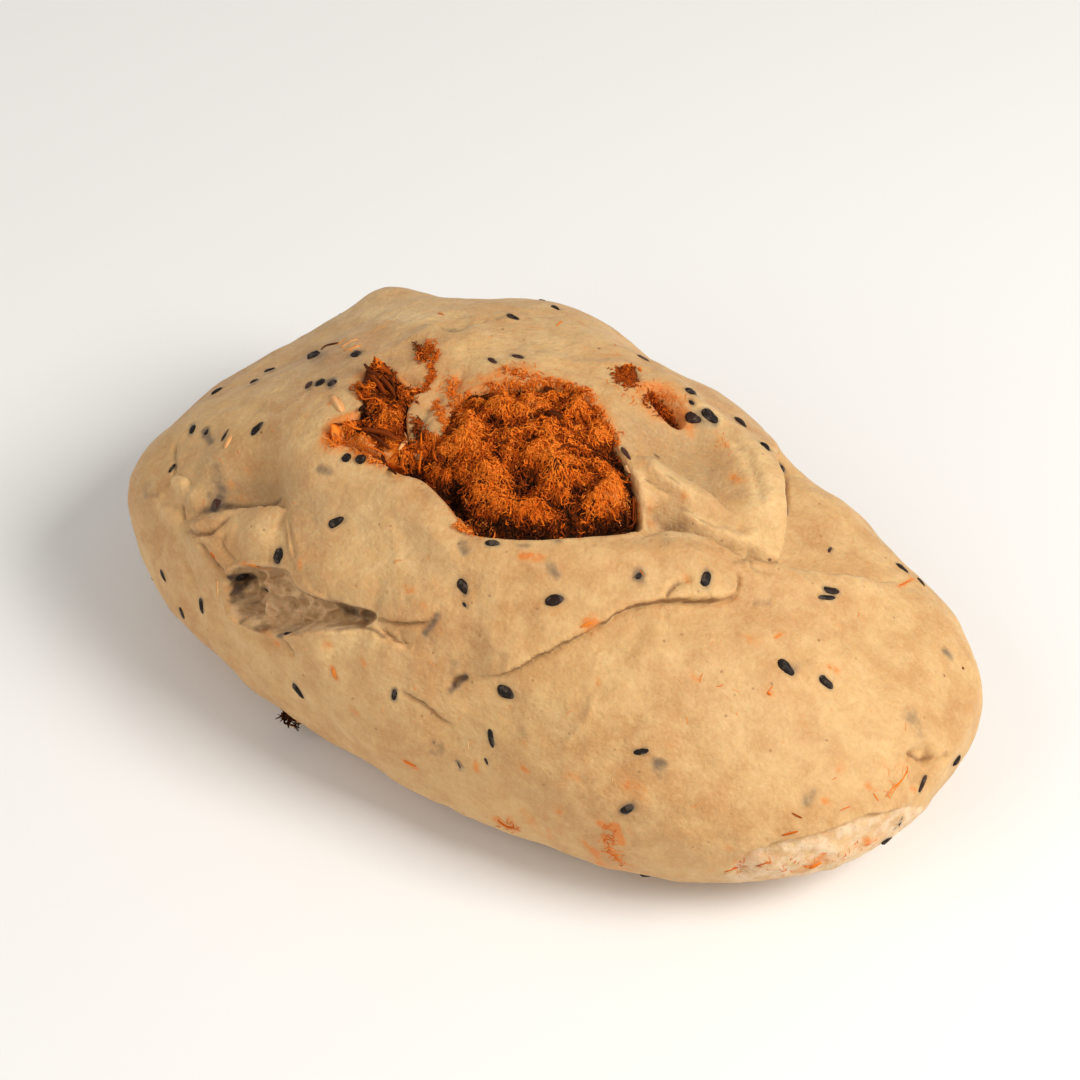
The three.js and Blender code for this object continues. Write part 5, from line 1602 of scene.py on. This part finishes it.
def curls(field, roots, headings, lengths, swings, lifts):
    """Middle lines of tangled shreds that follow a field of heights, and their height over it."""
    count = len(roots)
    root_height = height_over(field, *roots.T)[:, None]
    share = np.linspace(-0.5, 0.5, SHRED_STEPS)[None, :, None]
    way = np.stack([np.cos(headings), np.sin(headings), random.normal(0, 0.4, count)], 1)[:, None]
    line = share * lengths[:, None, None] * way
    for rate, part in CURL_PARTS:
        swing = random.normal(0, part, (count, 1, 3)) * swings[:, None, None]
        shift = random.uniform(0, 2 * math.pi, (count, 1, 3))
        line = line + swing * np.sin(2 * math.pi * rate * share + shift)
    x, y = roots[:, :1] + line[..., 0], roots[:, 1:] + line[..., 1]
    lift = lifts[:, None] + LIFT_SHARE * np.abs(line[..., 2])
    climb = np.clip(height_over(field, x, y) - root_height, -STEEPEST, STEEPEST)
    return np.stack([x, y, root_height + climb + lift], 2), lift


def tapered(radii):
    """Radii along shreds that get thinner at both ends."""
    return radii[:, None] * (1 - THINNER_ENDS * np.abs(np.linspace(-1, 1, SHRED_STEPS)) ** 3)[None]


print("each shred has", SHRED_STEPS, "points")

# %% Tufts in the pocket
TUFTS = 1050
SHREDS_IN_TUFT = 8
TUFT_SPREAD = 0.6  # mm between the roots of a tuft
SMALL_CURLS = 0.6  # size of the curls in the pit and the lump
RIM_REACH = 2.5  # mm from the pocket's rim to where the tufts stand up in full
RIM_LIFT = 0.35
# The relief sets painted light on high shreds and painted shade in the gaps.
RELIEF_KEPT = (-1.7, 1.2)  # mm under and over the mean that still change the tone

tuft_places = places_on_floss(TUFTS)
tuft_heading = random.uniform(0, 2 * math.pi, TUFTS)
tuft_tone = random.normal(0, 0.15, TUFTS)
tuft_rise = random.uniform(0.1, 0.8, TUFTS)
total = TUFTS * SHREDS_IN_TUFT
tuft_of = np.repeat(np.arange(TUFTS), SHREDS_IN_TUFT)
roots = tuft_places[tuft_of] + random.normal(0, TUFT_SPREAD, (total, 2))
from_middle = np.linalg.norm(roots - tuft_places[tuft_of], axis=1)
root_relief = np.clip(height_over(floss_relief, *roots.T), *RELIEF_KEPT)
rim_share = smooth(inside(roots[:, 0] + MIDDLE[0], roots[:, 1] + MIDDLE[1], POCKET) / RIM_REACH)
small = np.where(rim_share > 0, 1, SMALL_CURLS)
fine = random.random(total)
headings = tuft_heading[tuft_of] + random.normal(0, 1.2, total)
lengths = small * random.uniform(0.4, 1.4, total)
swings = small * random.uniform(0.2, 0.4, total)
rises = (RIM_LIFT + (1 - RIM_LIFT) * rim_share) * tuft_rise[tuft_of] * bell(from_middle, 1.0)
lifts = rises + random.uniform(-0.25, 0.2, total)
shred_lines, shred_lift = curls(floss_ground, roots, headings, lengths, swings, lifts)
print(total, "curls in", TUFTS, "tufts")

# %% Tones and tubes of the tufts
MEAN_TONE = 0.57
# Painted light and shade: brighter for each mm over the mean height and darker below it.
RELIEF_LIGHT_TONE = 0.36  # more for each mm over the mean height
BRANCH_TONE = -0.08
TONE_NOISE = 0.15
# Painted light: shreds that lift higher are brighter.
LIFT_LIGHT_TONE, MEAN_LIFT = 0.13, 0.6
BRIGHTEST = 0.8
MIDDLE_TONE = 0.5
SMEAR_PULL = 0.6  # how far a smear draws the tone of a curl to its own
THINNEST, THICKER = 0.1, 0.07  # mm

branch_tone = BRANCH_TONE * (roots[:, 0] < BRANCH_FROM)
root_tone = MEAN_TONE + RELIEF_LIGHT_TONE * root_relief + tuft_tone[tuft_of] + branch_tone
root_tone = root_tone + random.normal(0, TONE_NOISE, total)
shred_tones = np.minimum(root_tone[:, None] + LIFT_LIGHT_TONE * (shred_lift - MEAN_LIFT), BRIGHTEST)
shred_tones += SMEAR_PULL * (smear_over(roots, MIDDLE_TONE, 0) - MIDDLE_TONE)[:, None]
shred_tones = np.minimum(shred_tones, BRIGHTEST)
kinds = np.array_split(np.arange(total), 3)
floss_pieces = [
    tubes(name, shred_lines[kind], tapered(THINNEST + THICKER * fine[kind] ** 2), shred_tones[kind])
    for name, kind in zip(("floss_curls_a", "floss_curls_b", "floss_curls_c"), kinds)
]

# %% [markdown]
# ## Shreds that lie where the picture shows them
# The left branch of the pocket is different: flat, dark, leathery shreds among the curls. A
# chain of small curls runs from it over the dough, and a few tufts and many single threads
# lie outside the pocket. Each is set by the pixels that it passes through.

# %% Where flat shreds and stray curls lie
FLAT_SHREDS = [
    # pixels along it, half its width in mm, tone
    (((366, 369), (378, 376), (388, 388), (397, 399)), 0.6, 0.24),
    (((376, 366), (390, 374), (403, 388)), 0.8, 0.4), (((372, 378), (378, 388), (384, 396)), 0.5, 0.3),
    (((384, 378), (392, 390), (398, 400)), 0.4, 0.12), (((357, 413), (362, 409), (367, 411)), 0.5, 0.0),
    (((365, 412), (369, 418), (373, 426)), 0.4, 0.03),
    (((362, 429), (376, 433), (390, 439), (398, 445)), 0.7, 0.32),
    (((372, 437), (384, 443), (394, 450)), 0.5, 0.2), (((343, 423), (351, 431), (363, 434)), 0.35, 0.66),
    (((360, 441), (374, 447), (388, 456)), 0.3, 0.6), (((384, 454), (390, 466), (397, 479)), 0.5, 0.1),
    (((404, 452), (402, 465), (408, 478)), 0.3, 0.5),
    (((424.5, 436), (421, 456), (417.6, 474)), 0.25, 0.66),
    (((431, 440), (436, 452), (440, 464)), 0.3, 0.5), (((399, 451), (404, 442), (409, 433)), 0.45, 0.96),
    (((356, 394), (362, 398), (372, 400)), 0.3, 0.6), (((358, 386), (366, 390), (372, 388)), 0.3, 0.66),
    (((544, 386), (551, 389), (559, 393)), 1.1, 0.12), (((509, 390), (512, 393), (515, 397)), 0.6, 0.02),
    (((546, 417), (555, 418), (563, 422)), 1.0, 0.16), (((630, 484), (634, 505), (635, 530)), 0.3, 0.25),
    (((628, 500), (630, 516), (629, 533)), 0.35, 0.22), (((638, 496), (638.5, 512), (638, 530)), 0.2, 0.3),
    (((622, 512), (623, 524), (621, 533)), 0.3, 0.12), (((553, 455), (566, 447), (576, 449)), 0.3, 0.25),
    (((484, 440), (498, 446), (510, 442)), 0.3, 0.2),
]
# The dark patch of curls by the tongue, with tone 0.14, is painted shade.
CURL_PATCHES = [
    # start and end pixel, spread in pixels, number of curls, tone, size
    (404, 394, 424, 391, 1.5, 52, 0.5, 0.7), (424, 391, 433, 376, 1.3, 44, 0.56, 0.7),
    (433, 376, 430, 364, 1.4, 34, 0.6, 0.7), (422, 358, 430, 346, 4.0, 84, 0.56, 0.8),
    (415, 346, 424, 358, 2.2, 46, 0.24, 0.8), (432, 360, 438, 354, 2.4, 30, 0.6, 0.8),
    (462, 528, 486, 531, 2.6, 330, 0.8, 0.8), (648, 398, 670, 420, 2.6, 150, 0.38, 0.7),
    (505, 372, 545, 382, 4.0, 60, 0.76, 0.6), (450, 384, 468, 430, 4.0, 90, 0.74, 0.7),
    (458, 410, 476, 432, 4.0, 60, 0.84, 0.8), (590, 400, 620, 446, 2.2, 70, 0.66, 0.8),
    (330, 443, 352, 438, 3.0, 100, 0.84, 0.5), (346, 432, 374, 446, 3.4, 100, 0.9, 0.5),
    (352, 446, 388, 466, 3.0, 100, 0.86, 0.5), (436, 404, 450, 432, 3.0, 90, 0.76, 0.6),
    (414, 420, 430, 440, 3.0, 70, 0.4, 0.7), (356, 388, 370, 400, 3.0, 60, 0.56, 0.8),
    (410, 450, 438, 450, 3.6, 240, 0.42, 0.9), (428, 440, 444, 446, 2.4, 90, 0.6, 0.8),
    (617, 373, 632, 384, 3.6, 420, 0.46, 0.3), (560, 387, 590, 394, 3.6, 60, 0.7, 0.8),
    (486, 387, 560, 384, 2.4, 90, 0.72, 0.6), (446, 436, 470, 396, 2.2, 70, 0.7, 0.7),
    (378, 404, 404, 424, 6.0, 140, 0.42, 1), (528, 402, 541, 411, 3.0, 60, 0.88, 0.7),
    (527, 416, 532, 427, 2.6, 30, 0.84, 0.7), (416, 430, 420, 442, 1.6, 24, 0.14, 0.7),
    (606, 492, 628, 516, 6.0, 160, 0.9, 0.8),
]
print(len(FLAT_SHREDS), "flat shreds,", len(CURL_PATCHES), "patches of curls")

# %% Where threads and bits lie
THREADS = [
    # pixels along it, half its width in mm, tone
    (((225, 449), (228.5, 442), (232, 436)), 0.7, 0.96), (((332, 395), (337, 403), (342, 412)), 0.8, 0.97),
    (((341, 348), (350, 342), (358, 339)), 0.4, 0.94), (((344, 350), (352, 349), (361, 345)), 0.4, 0.92),
    (((338, 398), (342, 405), (344, 411)), 0.5, 0.94), (((337, 345), (346, 339)), 0.24, 0.9),
    (((350, 352), (356, 345)), 0.2, 0.86), (((321, 350), (328, 345), (339, 343)), 0.45, 0.2),
    (((247, 564), (254, 565), (260, 567)), 0.26, 0.85), (((218, 580), (218.5, 588), (217, 597)), 0.4, 0.98),
    (((211, 552), (215, 559)), 0.2, 0.66), (((334, 669), (335, 677)), 0.26, 0.84),
    (((580, 627), (587, 624), (593, 622)), 0.3, 0.84), (((404, 760), (410, 763), (416, 766)), 0.3, 0.72),
    (((767, 692), (771, 695)), 0.26, 0.7), (((774, 638), (782, 634)), 0.13, 0.84),
    (((899, 586), (905, 583), (911, 580)), 0.16, 0.7), (((962, 667), (964, 669)), 0.3, 0.36),
    (((792, 813), (797.6, 815.7), (802, 818)), 0.22, 0.42),
    (((782, 835), (790, 832.7), (798, 831)), 0.3, 0.6), (((873.5, 793), (878.5, 801)), 0.14, 0.75),
    (((886.5, 797), (890, 790), (893, 785), (900, 784), (904, 777), (907.5, 769)), 0.18, 0.8),
    (((889, 799), (893, 790), (897, 786), (903, 780), (906, 771)), 0.14, 0.84),
    (((839.5, 811), (845, 808), (850.6, 806.5)), 0.12, 0.7),
    (((724, 872), (731, 869), (738, 867)), 0.24, 0.6), (((756, 866), (762, 864), (768, 862)), 0.24, 0.55),
    (((809, 868), (815, 865), (821, 862)), 0.36, 0.76), (((556, 326), (562, 321)), 0.18, 0.8),
    (((438, 313), (444, 315)), 0.2, 0.6), (((626, 465), (628, 469), (631, 473)), 0.55, 1.0),
    (((498, 820), (506, 826), (514, 828)), 0.3, 0.7),
]
THREAD_PATCHES = [
    # start and end pixel, spread in pixels, number of threads, tone
    (603, 826, 612, 842, 3.5, 30, 0.72), (608, 846, 620, 864, 4.0, 34, 0.76),
    (500, 822, 517, 829, 2.6, 24, 0.7), (735, 868, 822, 862, 5.0, 34, 0.74),
    (840, 852, 890, 842, 5.0, 14, 0.72), (880, 796, 908, 770, 6.0, 14, 0.84),
    (640, 388, 682, 402, 5.0, 50, 0.78), (500, 370, 545, 378, 6.0, 60, 0.84),
    (444, 380, 462, 436, 6.0, 60, 0.82), (326, 446, 340, 436, 4.0, 26, 0.84),
    (717, 432, 726, 448, 3.0, 8, 0.84), (560, 326, 620, 356, 9.0, 5, 0.9),
    (180, 420, 340, 640, 36.0, 14, 0.88), (300, 560, 480, 760, 40.0, 12, 0.92),
    (480, 560, 760, 760, 60.0, 14, 0.92), (700, 600, 940, 760, 50.0, 14, 0.94),
    (596, 380, 648, 398, 5.0, 16, 0.8),
]
print(len(THREADS), "threads,", len(THREAD_PATCHES), "patches of bits")

# %% Laying shreds on what the camera sees
LAID_SMOOTHING = 4
seen_trees = [dough_tree, *core_trees]


def laid(pixels, lift):
    """A line through pixels, laid on what the camera sees there, in millimetres."""
    way = spline([(x, y) for x, y in pixels])
    share = np.linspace(0, 1, len(way))
    way = np.stack([np.interp(np.linspace(0, 1, SHRED_STEPS), share, side) for side in way.T], 1)
    met = [first_met(seen_trees, pixel) for pixel in way]
    line = np.array([(hit + normal * (lift * MM)) / MM for hit, normal in met])
    for _ in range(LAID_SMOOTHING):
        line[1:-1] = (line[:-2] + 2 * line[1:-1] + line[2:]) / 4
    return line


def laid_piece(name, kinds, flatness, lift):
    lines = np.array([laid(pixels, lift) for pixels, half, tone in kinds])
    radii = tapered(np.array([half for pixels, half, tone in kinds]))
    tones = np.array([tone for pixels, half, tone in kinds])[:, None] + np.zeros((1, SHRED_STEPS))
    return tubes(name, lines, radii, tones, flatness)


def near_pixels(patches):
    """Random pixels in patches, with the tone of each."""
    pixels, tones = [], []
    for *ends, spread, count, tone in patches:
        start, end = np.reshape(ends, (2, 2))
        share = random.random((count, 1))
        between = start * (1 - share) + end * share
        pixels.append(between + random.normal(0, spread, (count, 2)))
        tones += [tone] * count
    return np.concatenate(pixels), np.array(tones)


print("shreds are laid on", len(seen_trees), "surfaces")

# %% Stray curls
STRAY_BRIGHTEST = 1.1 * BRIGHTEST
STRAY_RADII = (0.06, 0.12)  # mm

curl_pixels, curl_tones = near_pixels([patch[:-1] for patch in CURL_PATCHES])
sizes = np.repeat([patch[-1] for patch in CURL_PATCHES], [patch[5] for patch in CURL_PATCHES])
curl_roots = np.array([np.array(first_met(seen_trees, pixel)[0])[:2] / MM for pixel in curl_pixels])
count = len(curl_roots)
stray_lines, stray_lift = curls(
    ground, curl_roots, random.uniform(0, 2 * math.pi, count), sizes * random.uniform(0.4, 2.0, count),
    sizes * random.uniform(0.14, 0.38, count), sizes * random.uniform(-0.25, 0.6, count))
# Painted light on stray curls that lift higher, and painted shade on lower ones.
stray_tones = (curl_tones + random.normal(0, 0.1, count))[:, None] + 0.2 * (stray_lift - 0.3)
stray_tones = np.minimum(stray_tones, STRAY_BRIGHTEST)
print(count, "stray curls")

# %% Bits of thread
BIT_LENGTH, BIT_LONGER = 0.4, 1.3  # mm
BIT_LIFT = 0.03
BIT_RADII = (0.04, 0.1)
BIT_FLATNESS = 0.6

bit_pixels, bit_tones = near_pixels(THREAD_PATCHES)
bit_lines = []
for pixel in bit_pixels:
    hit, normal = first_met(seen_trees, pixel)
    turn, length, bend = random.random(3)
    along = seen_direction(pixel, 2 * math.pi * turn, normal)
    across = normal.cross(along)
    share = np.linspace(-0.5, 0.5, SHRED_STEPS)[:, None]
    length = BIT_LENGTH + BIT_LONGER * length
    line = np.array(hit) / MM + share * length * np.array(along) + np.array(normal) * BIT_LIFT
    bit_lines.append(line + (bend - 0.5) * length * (share**2) * 2 * np.array(across))
bit_tones = (bit_tones + random.normal(0, 0.12, len(bit_tones)))[:, None] + np.zeros((1, SHRED_STEPS))

floss_pieces += [
    laid_piece("floss_flat_shreds", FLAT_SHREDS, 0.3, 1.0),
    tubes("floss_stray_curls", stray_lines, tapered(random.uniform(*STRAY_RADII, count)), stray_tones),
]
loose_pieces = [
    laid_piece("loose_threads", THREADS, 0.35, 0.02),
    tubes(
        "loose_bits", np.array(bit_lines), tapered(random.uniform(*BIT_RADII, len(bit_lines))), bit_tones,
        flatness=BIT_FLATNESS),
]

# %% [markdown]
# ## The frayed crumb
# A dark, burnt scrap of floss hangs low on the left side: brown-black threads in a tangle,
# with a whitish bit in it. It is a knot of random curls round one place on the dough.

# %% Frayed crumb
CRUMB_PIXEL = (290, 723)
CRUMB_THREADS = 60
WHITISH_SHARE = 0.1
hit, normal = met_by(dough_tree, CRUMB_PIXEL)[:2]
middle = np.array(hit) / MM + 0.6 * np.array(normal) - 0.5 * np.array(camera_up)
share = np.linspace(-0.5, 0.5, SHRED_STEPS)[None, :, None]
ways = unit(random.normal(0, 1, (CRUMB_THREADS, 3)) * [1.2, 0.9, 0.7])
bows = unit(random.normal(0, 1, (CRUMB_THREADS, 3)))
reach = random.uniform(0.8, 3.4, (CRUMB_THREADS, 1, 1))
frayed = middle + random.normal(0, [1.2, 0.7, 0.5], (CRUMB_THREADS, 3))[:, None]
bow = share**2 * 1.4 + 0.25 * np.sin(9 * share)
frayed = frayed + share * reach * ways[:, None] + bow * bows[:, None]
whitish = random.random((CRUMB_THREADS, 1)) < WHITISH_SHARE
frayed_tones = np.where(whitish, 1.0, random.uniform(0.0, 0.1, (CRUMB_THREADS, 1)))
loose_pieces.append(tubes(
    "frayed_crumb", frayed, tapered(random.uniform(0.08, 0.24, CRUMB_THREADS)),
    frayed_tones + np.zeros((1, SHRED_STEPS))))

# %% [markdown]
# ## Finish of the floss
# Dried, fried shreds are matt, and their colour runs from dark red-brown over rust to bright
# orange. A ramp on the tone that each point carries gives that run, with painted shade in the
# depths and painted light at the tips, and a little noise along the shreds keeps them from looking like wire.

# %% Floss
FLOSS_RUN = [
    (0.0, (0.028, 0.008, 0.002)), (0.22, (0.125, 0.024, 0.003)), (0.45, (0.40, 0.066, 0.006)),
    (0.7, (0.80, 0.165, 0.010)), (0.86, (0.92, 0.27, 0.03)), (1.0, (0.86, 0.50, 0.22))]
# The cores' dark tone is painted shade of the floss's depths.
CORE_SHADE_TONE = 0.13
print("floss from", FLOSS_RUN[0][1], "to", FLOSS_RUN[-1][1])

floss = Finish("floss", Roughness=0.8, Specular_IOR_Level=0.08)
floss_place = floss.place()
flecks = floss.cloud(floss_place, 0.0012, 3.0, 0.6)
tone = floss.number("tone") + 0.16 * (flecks - 0.5)
floss.feed("Base Color", floss.node("ShaderNodeValToRGB", {"stops": FLOSS_RUN}, {"Fac": tone}))
floss.feed("Normal", floss.bump(floss.cloud(floss_place, 0.0005, 2.0), 0.4, 0.0002))

for piece in floss_pieces + loose_pieces:
    piece.data.materials.append(floss.material)
    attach(piece, "root")
for node, core in cores.items():
    plan = np.array([vertex.co[:2] for vertex in core.data.vertices]) / MM
    set_numbers(core, "tone", smear_over(plan, CORE_SHADE_TONE, 0))
    core.data.materials.append(floss.material)
    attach(core, "root")
    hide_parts(node)

# %% [markdown]
# ## The floor and the light
# The bun lies on a plain pale floor. A large soft light stands to the right and above, as in
# the picture, where the left side is darker, and a weak one and an even pale sky fill in.

# %% Stage
FLOOR_SIDE = 3.0
FLOOR_COLOUR = (0.86, 0.85, 0.83)

floor_shape = bmesh.new()
bmesh.ops.create_grid(floor_shape, x_segments=1, y_segments=1, size=FLOOR_SIDE / 2)
floor = add_object("floor", floor_shape, shade_smooth=False)
paper = Finish("pale_paper", Roughness=0.9, Specular_IOR_Level=0.1)
paper_cloud = paper.cloud(paper.place(), 0.002, 2.0)
paper.feed("Base Color", paper.mix(0.04 * paper_cloud, FLOOR_COLOUR, (0.80, 0.79, 0.77)))
floor.data.materials.append(paper.material)


def add_light(name, place, side, power, colour=(1, 1, 1)):
    """A square soft light that looks at the bun."""
    lamp = bpy.data.lights.new(name, "AREA")
    lamp.size = side
    lamp.energy = power
    lamp.color = colour
    holder = bpy.data.objects.new(name, lamp)
    bpy.context.scene.collection.objects.link(holder)
    turned = Vector(place).to_track_quat("Z", "Y").to_matrix().to_4x4()
    holder.matrix_world = Matrix.Translation(place) @ turned


add_light("key_light", (0.62, -0.05, 0.62), 0.4, 7.0, (1.0, 0.975, 0.94))
add_light("fill_light", (-0.5, -0.6, 0.6), 0.7, 2.7, (1.0, 0.98, 0.96))
sky = bpy.data.worlds.new("sky")
bpy.context.scene.world = sky
sky.use_nodes = True
sky.node_tree.nodes["Background"].inputs["Color"].default_value = (1, 0.985, 0.965, 1)
sky.node_tree.nodes["Background"].inputs["Strength"].default_value = 0.4
bpy.context.scene.view_settings.view_transform = "Standard"
